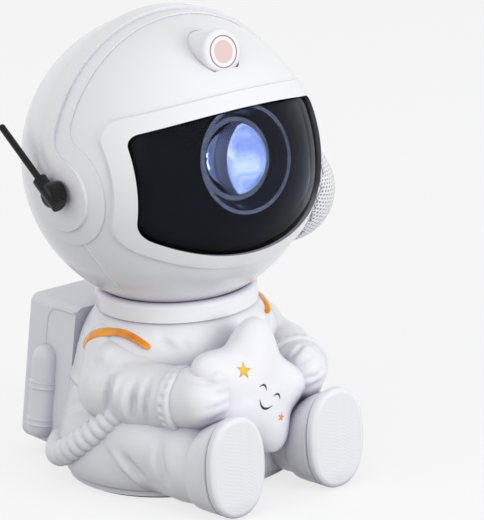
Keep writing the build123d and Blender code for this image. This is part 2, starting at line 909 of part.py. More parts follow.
with BuildPart() as usb_socket:
    with BuildSketch(head_rear.offset(board_front)):
        with Locations((0, usb_z)):
            SlotOverall(usb_width, usb_height)
    extrude(amount=usb_mouth - board_front)
    with BuildSketch(head_rear.offset(board_front + 2 * usb_wall)):
        with Locations((0, usb_z)):
            SlotOverall(usb_width - 2 * usb_wall, usb_height - 2 * usb_wall)
    extrude(amount=usb_mouth - board_front, mode=Mode.SUBTRACT)
    with BuildSketch(head_rear.offset(board_front)):
        with Locations((0, usb_z)):
            Rectangle(usb_width - usb_height, 2 * usb_wall)
    extrude(amount=usb_mouth - board_front - 2 * usb_wall)
finish(usb_socket.part, "usb_socket")

# Steel disc inside the chin that the neck magnet pulls on

with BuildPart() as steel_disc:
    with Locations((0, 0, head_z - sqrt((inner_radius - snug) ** 2 - steel_radius ** 2))):
        Cylinder(steel_radius, steel_thickness, align=standing)
finish(steel_disc.part, "steel_disc")

# Ear speaker: driver through the helmet wall under a perforated dome

pod_seat = sqrt(helmet_radius ** 2 - speaker_radius ** 2)
pod_base = (pod_centre ** 2 + helmet_radius ** 2 - pod_radius ** 2) / (2 * pod_centre)

with BuildPart() as speaker:
    with Locations(pod.offset(pod_seat + snug)):
        Cylinder(speaker_radius + speaker_flange, speaker_flange, align=standing)
        Cylinder(speaker_radius, speaker_depth, align=hanging)
        Cone(speaker_radius / 2, speaker_radius, speaker_flange, align=standing, mode=Mode.SUBTRACT)
finish(speaker.part, "speaker")

with BuildPart() as speaker_grille:
    with Locations(pod.offset(pod_centre)):
        Sphere(pod_radius)
        Sphere(pod_radius - pod_wall, mode=Mode.SUBTRACT)
    add(ball(helmet_radius + snug), mode=Mode.SUBTRACT)
    with BuildSketch(pod.offset(pod_base)):
        with HexLocations(pod_hole_pitch / 2, 11, 11):
            Circle(pod_hole)
        Circle(pod_radius - 3 * pod_wall, mode=Mode.INTERSECT)
    extrude(amount=far, mode=Mode.SUBTRACT)
    add(bezel_room.part, mode=Mode.SUBTRACT)
finish(speaker_grille.part, "speaker_grille")

# Antenna: hub and pin turning in the ear, with the rod pressed into its sleeve

hub_near = max(hypot(ear_y - antenna_forward, ear_z + antenna_up) - hub_radius, 0)
hub_base = sqrt(band_outer ** 2 - hub_near ** 2) + clear
rod_dir = Vector(0, sin(radians(antenna_angle)), cos(radians(antenna_angle)))
rod_middle = pivot + Vector(-hub_base - antenna_stand, 0, 0)
rod_plane = Plane(origin=rod_middle, x_dir=(1, 0, 0), z_dir=rod_dir)

with BuildPart() as antenna_hub:
    with Locations(pivot_right.offset(hub_base)):
        Cylinder(hub_radius, hub_height, align=standing)
    fillet(antenna_hub.edges().group_by(Axis.X)[0], hub_radius / 3)
    with Locations(rod_plane.offset(-sleeve_down)):
        Cylinder(sleeve_radius, sleeve_up + sleeve_down, align=standing)
    with Locations(pivot_right.offset(inner_radius - 2 * pin_radius)):
        Cylinder(pin_radius, hub_base - inner_radius + 2 * pin_radius, align=standing)
    with Locations(rod_plane):
        Cylinder(rod_radius, sleeve_up, align=standing, mode=Mode.SUBTRACT)
finish(antenna_hub.part, "antenna_hub")

with BuildPart() as antenna_rod:
    with Locations(rod_plane):
        Cylinder(rod_radius, rod_length, align=standing)
    fillet(antenna_rod.edges().sort_by(Axis(rod_middle, rod_dir))[-1], rod_radius * 0.9)
finish(antenna_rod.part, "antenna_rod")


# Legs, boots and soles

def limb(stations, shrink):
    """Round limb lofted through (place, direction, radius) stations."""
    with BuildPart(mode=Mode.PRIVATE) as piece:
        for place, heading, radius in stations:
            with BuildSketch(Plane(origin=place, x_dir=(0, 0, 1), z_dir=heading)):
                Circle(radius - shrink)
        loft()
    return piece.part


leg_floor = leg_clear
leg_stations = [
    ((-hip_x, hip_y, leg_floor + hip_radius), (0, -1, 0), hip_radius),
    ((-knee_x, knee_y, leg_floor + knee_radius), (0, -1, 0), knee_radius),
    ((-leg_x, ankle_y, leg_floor + ankle_radius), (0, -1, 0), ankle_radius),
]

with BuildPart() as right_leg:
    add(limb(leg_stations, 0))
    add(limb(leg_stations, leg_wall), mode=Mode.SUBTRACT)
    add(torso_outer, mode=Mode.SUBTRACT)
    with BuildSketch(Plane.XY):
        Ellipse(foot_half_width, foot_half_depth)
    extrude(amount=base_top, mode=Mode.SUBTRACT)
    split(bisect_by=Plane.YZ.offset(-glue), keep=Keep.BOTTOM)

with BuildPart() as leg_volume:
    add(limb(leg_stations, -snug))
    split(bisect_by=Plane.YZ, keep=Keep.BOTTOM)

boot_sections = [
    (ankle_y, ankle_radius - glue, ankle_radius - glue),
    ((ankle_y + boot_front) / 2, (boot_half_width + ankle_radius) / 2, (boot_half_height + ankle_radius) / 2),
    (boot_front, boot_half_width, boot_half_height),
]

with BuildPart() as right_boot:
    for y, half_width, half_height in boot_sections:
        with BuildSketch(Plane(origin=(-leg_x, y, leg_floor + half_height), x_dir=(1, 0, 0), z_dir=(0, -1, 0))):
            Ellipse(half_width, half_height)
    loft()

with BuildPart() as right_sole:
    with BuildSketch(Plane(origin=(-leg_x, boot_front, leg_floor + sole_half_height), x_dir=(1, 0, 0), z_dir=(0, -1, 0))):
        Ellipse(sole_half_width, sole_half_height)
    extrude(amount=sole_thickness)
    fillet(right_sole.edges().group_by(Axis.Y)[0], sole_round)

# Star, a puffed five-lobed block leaning back on the lap

star_plane = Plane(
    origin=(star_x, star_y, star_z), x_dir=(1, 0, 0),
    z_dir=(0, -cos(radians(star_lean)), sin(radians(star_lean))),
)

with BuildPart() as star_solid:
    with BuildSketch(star_plane) as star_sketch:
        spikes = []
        for spike in range(5):
            for reach, offset_turn in ((star_tip_radius + star_tip_round / 2, 0), (star_notch_radius, 36)):
                angle = radians(star_turn + 72 * spike + offset_turn)
                spikes.append((reach * cos(angle), reach * sin(angle)))
        Polygon(*spikes)
        tips = star_sketch.vertices().sort_by_distance((0, 0))
        fillet(tips[5:], star_tip_round)
        notches = [v for v in star_sketch.vertices() if hypot(v.X, v.Y) < star_notch_radius + 0.01]
        fillet(notches, star_notch_round)
    extrude(amount=star_thickness / 2, both=True)
    fillet(star_solid.faces().sort_by(Axis.Y)[0].edges(), star_edge_round)
    fillet(star_solid.faces().sort_by(Axis.Y)[-1].edges(), star_edge_round)

with BuildPart() as star:
    add(star_solid.part)
    for side in (right_boot.part, right_sole.part, leg_volume.part):
        add(side, mode=Mode.SUBTRACT)
        add(side.mirror(Plane.YZ), mode=Mode.SUBTRACT)
    add(torso_outer, mode=Mode.SUBTRACT)
finish(star.part, "star")

# Arms, cuffs, gloves and shoulder stripes

wrist = Vector(-wrist_x, wrist_y, wrist_z)
wrist_dir = Vector(arm_x - wrist_x, wrist_y - elbow_y, wrist_z - elbow_z).normalized()
shoulder = Vector(-shoulder_x, shoulder_y, shoulder_z)
elbow = Vector(-arm_x, elbow_y, elbow_z)


def taper(start, end, near, far):
    """Round taper from one place to another."""
    run = end - start
    with BuildPart(mode=Mode.PRIVATE) as piece:
        with BuildSketch(Plane(origin=start, x_dir=run, z_dir=run.cross(Vector(0, 0, 1)))):
            Polygon((0, 0), (run.length, 0), (run.length, far), (0, near), align=None)
        revolve(axis=Axis(start, run))
    return piece.part


def arm_solid(grow):
    """Upper arm and forearm with round shoulder and elbow, grown by a margin."""
    with BuildPart(mode=Mode.PRIVATE) as piece:
        add(taper(shoulder, elbow, shoulder_radius + grow, elbow_radius + grow))
        add(taper(elbow, wrist, elbow_radius + grow, wrist_radius + grow))
        with Locations(shoulder):
            Sphere(shoulder_radius + grow)
        with Locations(elbow):
            Sphere(elbow_radius + grow)
    return piece.part


def shoulder_block(grow):
    """Torso and arm as one lump, grown by a margin."""
    with BuildPart(mode=Mode.PRIVATE) as piece:
        add(torso_solid(-grow))
        add(arm_solid(grow))
    return piece.part


lap = [torso_outer, right_boot.part, right_sole.part, leg_volume.part]

with BuildPart() as arm_block:
    add(arm_solid(0))
    for piece in lap:
        add(piece, mode=Mode.SUBTRACT)

with BuildPart() as cuff_block:
    with Locations(Plane(origin=wrist, x_dir=(0, 0, 1), z_dir=wrist_dir)):
        Cylinder(cuff_radius, cuff_length, align=standing)
    fillet(cuff_block.edges().filter_by(GeomType.CIRCLE), cuff_length / 4)
    for piece in lap:
        add(piece, mode=Mode.SUBTRACT)

palm = Vector(-glove_x, glove_y, glove_z)
cuff_end = wrist + wrist_dir * cuff_length
hand_dir = (palm - cuff_end).normalized()
finger_end = palm + hand_dir * glove_length
palm_plane = Plane(origin=palm, x_dir=(0, 0, 1), z_dir=hand_dir)
glove_stations = [
    (cuff_end, wrist_dir, wrist_radius),
    (palm, hand_dir, palm_radius),
    (finger_end, hand_dir, finger_radius),
]

with BuildPart() as glove_block:
    add(limb(glove_stations, 0))
    fillet(glove_block.edges().sort_by(Axis(palm, hand_dir))[-1], finger_round)
    with Locations(palm_plane.offset(thumb_forward)):
        with Locations((thumb_up, 0, 0)):
            Sphere(thumb_radius)
    for piece in lap:
        add(piece, mode=Mode.SUBTRACT)

for name, block in (("arm", arm_block), ("cuff", cuff_block), ("glove", glove_block)):
    for side, piece in (("right", block.part), ("left", block.part.mirror(Plane.YZ))):
        with BuildPart() as held:
            add(piece)
            add(star_solid.part, mode=Mode.SUBTRACT)
        finish(held.part, f"{side}_{name}")

stripe_back = Vector(*stripe_back_end)
stripe_front = Vector(*stripe_front_end)
stripe_rise = Vector(*stripe_crest) - stripe_back
stripe_run = stripe_front - stripe_back

with BuildPart() as right_stripe:
    with BuildSketch(Plane(origin=stripe_back, x_dir=stripe_run, z_dir=stripe_run.cross(stripe_rise))):
        Rectangle(stripe_run.length, stripe_run.length, align=(Align.MIN, Align.MIN))
    extrude(amount=stripe_width / 2, both=True)
    add(shoulder_block(stripe_raise), mode=Mode.INTERSECT)
    add(shoulder_block(snug), mode=Mode.SUBTRACT)

# Backpack: housing against the torso, cover behind it, tank on each side


def pack_outline(y, shrink):
    """Tapered outline of the backpack on the plane at a given depth."""
    rear_plane = Plane(origin=(0, y, 0), x_dir=(-1, 0, 0), z_dir=(0, 1, 0))
    with BuildSketch(rear_plane, mode=Mode.PRIVATE) as outline:
        Polygon(
            (-pack_bottom_half, pack_bottom), (pack_bottom_half, pack_bottom),
            (pack_top_half, pack_top), (-pack_top_half, pack_top),
        )
        fillet(outline.vertices(), pack_corner)
        if shrink:
            offset(amount=-shrink)
    return outline.sketch


with BuildPart() as pack_volume:
    extrude(pack_outline(pack_front, 0), amount=pack_back - pack_front)

with BuildPart() as pack_housing:
    extrude(pack_outline(pack_front, 0), amount=pack_seam - pack_front)
    extrude(pack_outline(pack_seam - pocket_depth, pack_wall), amount=pocket_depth, mode=Mode.SUBTRACT)
    add(torso_solid(-snug), mode=Mode.SUBTRACT)
finish(pack_housing.part, "pack_housing")

with BuildPart() as pack_cover:
    extrude(pack_outline(pack_seam, 0), amount=pack_back - pack_seam)
    fillet(pack_cover.faces().sort_by(Axis.Y)[-1].edges(), pack_round)
    extrude(pack_outline(pack_seam, pack_wall), amount=pack_back - pack_seam - pack_wall, mode=Mode.SUBTRACT)
finish(pack_cover.part, "pack_cover")


def pack_side(z):
    """Point on the middle line of the tank at a given height."""
    share = (z - pack_bottom) / (pack_top - pack_bottom)
    return Vector(-pack_bottom_half + (pack_bottom_half - pack_top_half) * share, tank_y, z)


tank_dir = pack_side(tank_high) - pack_side(tank_low)

with BuildPart() as right_tank:
    with Locations(Plane(origin=pack_side(tank_low), x_dir=(0, 1, 0), z_dir=tank_dir)):
        Cylinder(tank_radius, tank_dir.length, align=standing)
    with Locations(pack_side(tank_low), pack_side(tank_high)):
        Sphere(tank_radius)
    for height in (strap_low, strap_high):
        with Locations(Plane(origin=pack_side(height), x_dir=(0, 1, 0), z_dir=tank_dir)):
            Cylinder(tank_radius + strap_raise, strap_width)
    add(pack_volume.part, mode=Mode.SUBTRACT)

# Ribbed hoses from the pack round the hips to the front of the suit

hose_path = Spline(
    *[Vector(*point) for point in (hose_start, hose_middle, hose_finish)],
    tangents=[hose_start_dir, hose_finish_dir],
)


def hose_loft(profile):
    """Tube through (share of path, radius) stations with a steady X axis."""
    with BuildPart(mode=Mode.PRIVATE) as piece:
        for share, radius in profile:
            place = hose_path.position_at(share)
            with BuildSketch(Plane(origin=place, x_dir=(0, 0, 1), z_dir=hose_path.tangent_at(share))):
                Circle(radius)
        loft(ruled=True)
    return piece.part


rib_pitch = (1 - 2 * hose_plain) / hose_ribs
ribs = [(0, hose_groove)]
for rib in range(hose_ribs):
    begin = hose_plain + rib * rib_pitch
    for part_way, radius in ((0.05, hose_groove), (0.3, hose_radius), (0.7, hose_radius), (0.95, hose_groove)):
        ribs.append((begin + part_way * rib_pitch, radius))
ribs.append((1, hose_groove))

with BuildPart() as right_hose:
    add(hose_loft(ribs))
    add(hose_loft([(step / hose_ribs, hose_bore) for step in range(hose_ribs + 1)]), mode=Mode.SUBTRACT)
    add(torso_solid(-snug), mode=Mode.SUBTRACT)
    add(pack_volume.part, mode=Mode.SUBTRACT)
    add(arm_solid(snug), mode=Mode.SUBTRACT)
    add(leg_volume.part, mode=Mode.SUBTRACT)

# Right-hand pieces written as they stand, and mirrored for the left

for name, piece in (
    ("leg", right_leg), ("boot", right_boot), ("sole", right_sole),
    ("stripe", right_stripe), ("tank", right_tank), ("hose", right_hose),
):
    finish(piece.part, f"right_{name}")
    finish(piece.part.mirror(Plane.YZ), f"left_{name}")
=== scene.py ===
from math import atan2, cos, degrees, exp, hypot, pi, radians, sin, sqrt

import bmesh
import bpy
import numpy as np
from mathutils import Matrix, Vector
from mathutils.bvhtree import BVHTree


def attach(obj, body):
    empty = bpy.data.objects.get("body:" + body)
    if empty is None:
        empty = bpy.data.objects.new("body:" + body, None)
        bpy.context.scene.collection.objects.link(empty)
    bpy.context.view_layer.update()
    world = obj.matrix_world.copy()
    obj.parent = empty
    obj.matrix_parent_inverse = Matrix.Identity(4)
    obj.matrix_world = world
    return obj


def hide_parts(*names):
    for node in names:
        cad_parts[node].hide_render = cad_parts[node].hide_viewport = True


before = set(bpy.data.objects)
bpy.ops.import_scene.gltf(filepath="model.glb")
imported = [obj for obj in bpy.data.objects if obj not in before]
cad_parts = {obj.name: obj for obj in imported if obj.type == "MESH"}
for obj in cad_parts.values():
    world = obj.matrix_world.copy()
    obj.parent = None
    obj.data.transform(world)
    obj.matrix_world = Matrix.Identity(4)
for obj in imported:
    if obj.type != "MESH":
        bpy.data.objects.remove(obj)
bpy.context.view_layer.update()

# Seat base: a white plate screwed up into the torso, with a thin black rubber
# pad glued under it so that the lamp does not slide. ABS keeps its mould's
# satin skin, rubber scatters light, and the plated screws are small and bright.
MM = 0.001


def linear(colour):
    """sRGB hex to the linear colour that shaders work in."""
    parts = [int(colour[i:i + 2], 16) / 255 for i in (1, 3, 5)]
    return (*[p / 12.92 if p <= 0.04045 else ((p + 0.055) / 1.055) ** 2.4 for p in parts], 1.0)


def add_node(tree, kind, settings=None, inputs=None):
    """Adds one shader node with its settings, and links or sets its sockets."""
    item = tree.nodes.new(kind)
    for key, value in (settings or {}).items():
        setattr(item, key, value)
    for key, value in (inputs or {}).items():
        if isinstance(value, bpy.types.NodeSocket):
            tree.links.new(value, item.inputs[key])
        else:
            item.inputs[key].default_value = value
    return item


def new_material(name):
    """Node material with an empty tree."""
    material = bpy.data.materials.new(name)
    material.use_nodes = True
    material.node_tree.nodes.clear()
    return material, material.node_tree


def grained_plastic(name, colour, roughness, grain_mm, grain_depth, coat=0.0, specular=0.5):
    """Plain moulded plastic, rubber or board: one colour with a fine grain of a real size."""
    material, tree = new_material(name)
    place = add_node(tree, "ShaderNodeTexCoord")
    grain = add_node(tree, "ShaderNodeTexNoise", None, {
        "Vector": place.outputs["Object"], "Scale": 1 / (grain_mm * MM), "Detail": 3.0})
    spread = add_node(tree, "ShaderNodeMapRange", None, {
        "Value": grain.outputs["Fac"], "To Min": roughness * 0.85, "To Max": roughness * 1.15})
    bump = add_node(tree, "ShaderNodeBump", None, {
        "Height": grain.outputs["Fac"], "Strength": grain_depth, "Distance": 0.1 * MM})
    shader = add_node(tree, "ShaderNodeBsdfPrincipled", None, {
        "Base Color": linear(colour), "Roughness": spread.outputs["Result"], "IOR": 1.5,
        "Specular IOR Level": specular, "Coat Weight": coat, "Coat Roughness": 0.08,
        "Normal": bump.outputs["Normal"]})
    add_node(tree, "ShaderNodeOutputMaterial", None, {"Surface": shader.outputs["BSDF"]})
    return material


def worked_metal(name, colour, roughness, streak_mm):
    """Bare or plated metal with fine turning or drawing marks."""
    material, tree = new_material(name)
    place = add_node(tree, "ShaderNodeTexCoord")
    stretch = add_node(tree, "ShaderNodeMapping", None, {
        "Vector": place.outputs["Object"], "Scale": (1, 1, 8)})
    streak = add_node(tree, "ShaderNodeTexNoise", None, {
        "Vector": stretch.outputs["Vector"], "Scale": 1 / (streak_mm * MM), "Detail": 2.0})
    spread = add_node(tree, "ShaderNodeMapRange", None, {
        "Value": streak.outputs["Fac"], "To Min": roughness * 0.7, "To Max": roughness * 1.3})
    shader = add_node(tree, "ShaderNodeBsdfPrincipled", None, {
        "Base Color": linear(colour), "Metallic": 1.0, "Roughness": spread.outputs["Result"]})
    add_node(tree, "ShaderNodeOutputMaterial", None, {"Surface": shader.outputs["BSDF"]})
    return material


def finish_nodes(material, *names):
    """Gives CAD pieces their real finish."""
    for name in names:
        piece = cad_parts[name]
        if not piece.material_slots:
            piece.data.materials.append(material)
        for place in piece.material_slots:
            place.material = material


plate_abs = grained_plastic("base_abs_satin", "#DADBDF", 0.45, 0.5, 0.25)
pad_rubber = grained_plastic("pad_rubber_matt", "#232427", 0.8, 0.3, 0.6)
screw_steel = worked_metal("screw_steel_zinc", "#C9CACC", 0.3, 0.4)
finish_nodes(plate_abs, "base_plate")
finish_nodes(pad_rubber, "base_pad")
finish_nodes(screw_steel, "base_screws", "frame_screws")

# Torso: two ABS half shells glued together, white with a soft polished skin.
# Its form is a padded suit with a belt line round the waist, folds below the
# neck and over the hips, and a well under the collar where the helmet dips in.
WHITE = "#ECEDF1"
# The lilac below is painted shade, mixed into the white in corners and creases.
PAINTED_SHADE = "#B9B4C4"


def white_abs(name, colour, painted_shade_colour, roughness, coat):
    """White ABS from a polished mould: soft gloss, a trace of orange peel, and
    painted shade: a cool lilac mixed into the colour where an occlusion mask finds corners.
    Real orange peel is under 1 mm wide; it is drawn at 1.6 mm so that it shows."""
    material, tree = new_material(name)
    place = add_node(tree, "ShaderNodeTexCoord")
    # Painted shade: the ambient occlusion mask pulls the colour towards the lilac in corners and
    # creases.
    painted_shade_mask = add_node(tree, "ShaderNodeAmbientOcclusion", {"samples": 8}, {"Distance": 9 * MM})
    tint = add_node(tree, "ShaderNodeMix", {"data_type": "RGBA"}, {
        0: painted_shade_mask.outputs["AO"], 6: linear(painted_shade_colour), 7: linear(colour)})
    flow = add_node(tree, "ShaderNodeTexNoise", None, {
        "Vector": place.outputs["Object"], "Scale": 1 / (18 * MM), "Detail": 2.0})
    spread = add_node(tree, "ShaderNodeMapRange", None, {
        "Value": flow.outputs["Fac"], "To Min": roughness * 0.8, "To Max": roughness * 1.2})
    peel = add_node(tree, "ShaderNodeTexNoise", None, {
        "Vector": place.outputs["Object"], "Scale": 1 / (1.6 * MM), "Detail": 1.0})
    bump = add_node(tree, "ShaderNodeBump", None, {
        "Height": peel.outputs["Fac"], "Strength": 0.05, "Distance": 0.1 * MM})
    shader = add_node(tree, "ShaderNodeBsdfPrincipled", None, {
        "Base Color": tint.outputs[2], "Roughness": spread.outputs["Result"], "IOR": 1.53,
        "Coat Weight": coat, "Coat Roughness": 0.12, "Normal": bump.outputs["Normal"]})
    add_node(tree, "ShaderNodeOutputMaterial", None, {"Surface": shader.outputs["BSDF"]})
    return material


def skin(name, points, faces, material, body, slot, nodes=()):
    """Smooth-shaded piece from points in millimetres, on its body, in place of its CAD nodes."""
    mesh = bpy.data.meshes.new(name)
    mesh.from_pydata([Vector(p) * MM for p in points], [], faces)
    mesh.update()
    mesh.shade_smooth()
    mesh.materials.append(material)
    piece = bpy.data.objects.new(name, mesh)
    bpy.context.scene.collection.objects.link(piece)
    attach(piece, body)
    if nodes:
        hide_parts(*nodes)
    return piece


def stack(rings):
    """Faces over rings of equal length: quads between them and a fan at each end."""
    sides = len(rings[0])
    points = [p for ring in rings for p in ring]
    faces = []
    for low in range(len(rings) - 1):
        for i in range(sides):
            j = (i + 1) % sides
            faces.append((low * sides + i, low * sides + j,
                          (low + 1) * sides + j, (low + 1) * sides + i))
    for ring, first in ((rings[0], 0), (rings[-1], (len(rings) - 1) * sides)):
        points.append(sum((Vector(p) for p in ring), Vector()) / sides)
        for i in range(sides):
            pair = (first + i, first + (i + 1) % sides)
            faces.append((*(pair[::-1] if first == 0 else pair), len(points) - 1))
    return points, faces


def mirrored(points, faces):
    """The same skin on the other side of the figure."""
    return [(-p[0], p[1], p[2]) for p in points], [tuple(reversed(f)) for f in faces]


def press(points, faces, lines):
    """Presses soft creases into a skin along lines; a negative depth raises a fold.
    Each line is (its points, its width, its depth) and fades out at its ends."""
    mesh = bpy.data.meshes.new("press")
    mesh.from_pydata([Vector(p) for p in points], [], faces)
    mesh.update()
    spots = np.array([v.co for v in mesh.vertices])
    out = np.array([v.normal for v in mesh.vertices])
    bpy.data.meshes.remove(mesh)
    shift = np.zeros(len(spots))
    for path, width, depth in lines:
        path = np.array([spots[np.argmin(np.linalg.norm(spots - p, axis=1))] for p in path])
        lengths = np.linalg.norm(np.diff(path, axis=0), axis=1)
        nearest = np.full(len(spots), 1e9)
        share = np.zeros(len(spots))
        for i, run in enumerate(lengths):
            step = path[i + 1] - path[i]
            along = np.clip((spots - path[i]) @ step / run ** 2, 0, 1)
            away = np.linalg.norm(spots - path[i] - along[:, None] * step, axis=1)
            closer = away < nearest
            nearest[closer] = away[closer]
            share[closer] = ((lengths[:i].sum() + along * run) / lengths.sum())[closer]
        fade = np.clip(np.sin(pi * np.clip(share, 0.02, 0.98)), 0, 1) ** 0.6
        shift += depth * fade * np.exp(-(nearest / width) ** 2)
    return [tuple(p) for p in spots - out * shift[:, None]]


suit_white = white_abs("suit_abs_white", WHITE, PAINTED_SHADE, 0.34, 0.15)
TORSO_LOW, TORSO_HIGH, TORSO_INSET = 4.0, 72.4, 0.05
TORSO_LEVELS, TORSO_SIDES = 86, 180
NECK_SHARE, NECK_DEPTH = 0.92, 14.0
# The belt's roll and the groove under it: how far each stands out, its place
# above the belt line and its half width.
BELT_HEIGHT = 42.0
BELT_FORMS = ((0.7, 1.6, 1.3), (-0.9, -0.6, 0.7))
LOOK_FROM = 200
torso_trees = [BVHTree.FromObject(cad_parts[n], bpy.context.evaluated_depsgraph_get())
               for n in ("torso_front", "torso_rear")]


def bump_at(value, middle, width):
    """Soft hill of height 1."""
    return exp(-((value - middle) / width) ** 2)


def torso_reach(angle, height):
    """Distance from the torso's middle line to its outside, in millimetres, found
    by looking inwards from well outside it."""
    heading = Vector((cos(angle), sin(angle), 0))
    start = heading * (LOOK_FROM * MM) + Vector((0, 0, height * MM))
    hits = [tree.ray_cast(start, -heading) for tree in torso_trees]
    return max(LOOK_FROM - hit[3] / MM for hit in hits if hit[0] is not None)


torso_rings = []
for level in range(TORSO_LEVELS):
    rise = (TORSO_HIGH - TORSO_LOW - 2 * TORSO_INSET) * level / (TORSO_LEVELS - 1)
    height = TORSO_LOW + TORSO_INSET + rise
    ring = []
    for side in range(TORSO_SIDES):
        angle = 2 * pi * (side + 0.5) / TORSO_SIDES
        reach = torso_reach(angle, height)
        for proud, above, width in BELT_FORMS:
            reach += proud * bump_at(height, BELT_HEIGHT + above, width)
        ring.append((reach * cos(angle), reach * sin(angle), height))
    torso_rings.append(ring)
neck_ring = torso_rings[-1]
for height in (TORSO_HIGH - TORSO_INSET, TORSO_HIGH - NECK_DEPTH):
    torso_rings.append([(x * NECK_SHARE, y * NECK_SHARE, height) for x, y, z in neck_ring])
torso_points, torso_faces = stack(torso_rings)
# Each fold: its line over the suit, its half width and its depth.
suit_folds = [
    ([(-31.2, -28.1, 72.0), (-28.4, -31.5, 66.8), (-25.1, -34.4, 62.9)], 1.6, 1.6),
    ([(-28.0, -31.0, 71.0), (-23.0, -35.5, 65.0)], 2.0, -0.5),
    ([(-24.0, -34.2, 68.5), (-19.1, -37.6, 62.8)], 1.3, 1.0),
    ([(-47.3, 15.7, 30.4), (-49.0, 4.1, 36.7), (-48.3, -5.3, 39.5)], 1.8, 0.9),
    ([(-48.1, 14.8, 27.5), (-49.4, 3.7, 33.5), (-48.9, -3.9, 36.0)], 2.0, -0.7),
]
suit_folds += [([(-x, y, z) for x, y, z in line], width, depth) for line, width, depth in suit_folds]
torso_points = press(torso_points, torso_faces, suit_folds)
skin("torso_suit", torso_points, torso_faces, suit_white, "body", "white_plastic",
     ("torso_front", "torso_rear"))

# Neck: a thick white ring on the torso's top, a dished seat inside it, and a
# nickel-plated magnet under the seat that holds the loose helmet ball in place.
# Its second colour is painted shade, mixed in at corners and creases.
helmet_white = white_abs("helmet_abs_white", "#EFF0F3", "#BFBAC8", 0.22, 0.35)
magnet_nickel = worked_metal("magnet_nickel", "#CFCDC8", 0.15, 0.6)
finish_nodes(helmet_white, "neck_collar", "neck_seat")
finish_nodes(magnet_nickel, "neck_magnet", "steel_disc")
finish_nodes(plate_abs, "magnet_cap")

# Legs: hollow ABS mouldings glued to the hips, shaped like a padded suit that
# bunches behind the knee. Each lies flat along the floor to its boot.
LEG_X = 26.0
LEG_JOINTS = ((-30, -4, 22.6), (-28, -28, 21.2), (-LEG_X, -58.5, 17.2))
LEG_RADII = (21.9, 20.6, 15.6)
LEG_RINGS, LEG_SIDES = 130, 130
FLOOR_GAP = 0.62


def pair(name, points, faces, material, body, slot, node=None):
    """A skin on the figure's right side and the same one mirrored on its left."""
    for side, shape in (("right", (points, faces)), ("left", mirrored(points, faces))):
        skin(f"{side}_{name}", *shape, material, body, slot, (f"{side}_{node}",) if node else ())


def between(values, share):
    """Smooth value at a share of the way through three evenly spread ones."""
    low, middle, high = values
    return (low * (2 * share - 1) * (share - 1) + middle * 4 * share * (1 - share)
            + high * share * (2 * share - 1))


def limb(joints, radii, rings, sides, swell):
    """Rings square to a smooth line through three joints. Angle 0 is up and 90
    degrees is away from the figure; swell gives the radius to add at each spot."""
    places = [Vector(j) for j in joints]
    result = []
    for step in range(rings):
        share = step / (rings - 1)
        middle = between(places, share)
        heading = (between(places, share + 0.01) - between(places, share - 0.01)).normalized()
        up = (Vector((0, 0, 1)) - heading * heading.z).normalized()
        away = heading.cross(up)
        ring = []
        for i in range(sides):
            angle = 2 * pi * i / sides
            radius = between(radii, share) + swell(share, degrees(angle))
            ring.append(middle + (up * cos(angle) + away * sin(angle)) * radius)
        result.append(ring)
    return result


def leg_swell(share, angle):
    """Padded thigh and shin with a drawn-in knee on the outside."""
    outside = bump_at(angle, 80, 60)
    return (0.8 * bump_at(share, 0.40, 0.16) * outside
            - 0.9 * bump_at(share, 0.66, 0.08) * outside
            + 0.5 * bump_at(share, 0.84, 0.1))


leg_rings = limb(LEG_JOINTS, LEG_RADII, LEG_RINGS, LEG_SIDES, leg_swell)
leg_rings = [[(p[0], p[1], max(p[2], FLOOR_GAP)) for p in ring] for ring in leg_rings]
leg_points, leg_faces = stack(leg_rings)
knee_folds = [
    ([(-50.1, -18.1, 22.7), (-49.4, -22.6, 19.5), (-48.1, -26.2, 15.3), (-45.3, -29.7, 10.1),
      (-39.7, -29.2, 4.3)], 2.0, -1.3),
    ([(-50.4, -15.3, 20.3), (-49.0, -18.8, 15.4), (-45.8, -19.6, 9.3)], 2.2, 1.3),
    ([(-49.3, -24.6, 21.8), (-48.0, -30.2, 17.0), (-44.9, -34.1, 11.2)], 2.4, 1.8),
    ([(-41.5, -42.1, 31.0), (-44.0, -44.5, 24.5), (-44.2, -46.5, 17.3),
      (-42.4, -46.0, 10.7)], 2.6, 2.0),
    ([(-43.7, -39.7, 29.1), (-45.7, -40.8, 21.0), (-44.1, -40.7, 12.2)], 2.4, -1.1),
]
leg_points = press(leg_points, leg_faces, knee_folds)
pair("leg_suit", leg_points, leg_faces, suit_white, "body", "white_plastic", "leg")

# Boots: rounded hollow toes, then a thick sole with a rolled edge and a welt
# groove behind it. The sole's face is moulded with fine wavy tread lines.
BOOT_SECTIONS = ((-57.4, 15.4, 16.9), (-58.2, 16.1, 18.3), (-60.2, 16.2, 19.0), (-63.4, 15.7, 19.8),
                 (-66.6, 14.9, 20.5), (-68.0, 14.5, 20.7), (-68.8, 14.8, 21.1), (-69.4, 14.2, 20.8))
SOLE_SECTIONS = ((-69.6, 13.3, 20.9), (-70.0, 14.0, 21.5), (-71.0, 14.3, 21.6), (-72.1, 14.2, 21.6),
                 (-73.0, 13.7, 21.3), (-73.6, 12.8, 20.6), (-73.95, 11.9, 19.8))
BOOT_SIDES, SOLE_SIDES, FACE_RINGS = 120, 200, 50
OVAL_POWER, SOLE_FLOOR, SOLE_MIDDLE = 0.88, 0.6, 22.2
TREAD_PITCH, TREAD_DEPTH, TREAD_MARGIN = 1.6, 0.07, 0.08


def oval(y, half_width, half_height, sides, share=1.0, middle=None):
    """Rounded-oval ring across the foot, standing on the floor line of its sole."""
    middle = middle or SOLE_FLOOR + half_height
    ring = []
    for i in range(sides):
        angle = 2 * pi * i / sides
        x = abs(cos(angle)) ** OVAL_POWER * (1 if cos(angle) > 0 else -1)
        z = abs(sin(angle)) ** OVAL_POWER * (1 if sin(angle) > 0 else -1)
        ring.append((-LEG_X + share * half_width * x, y, middle + share * half_height * z))
    return ring


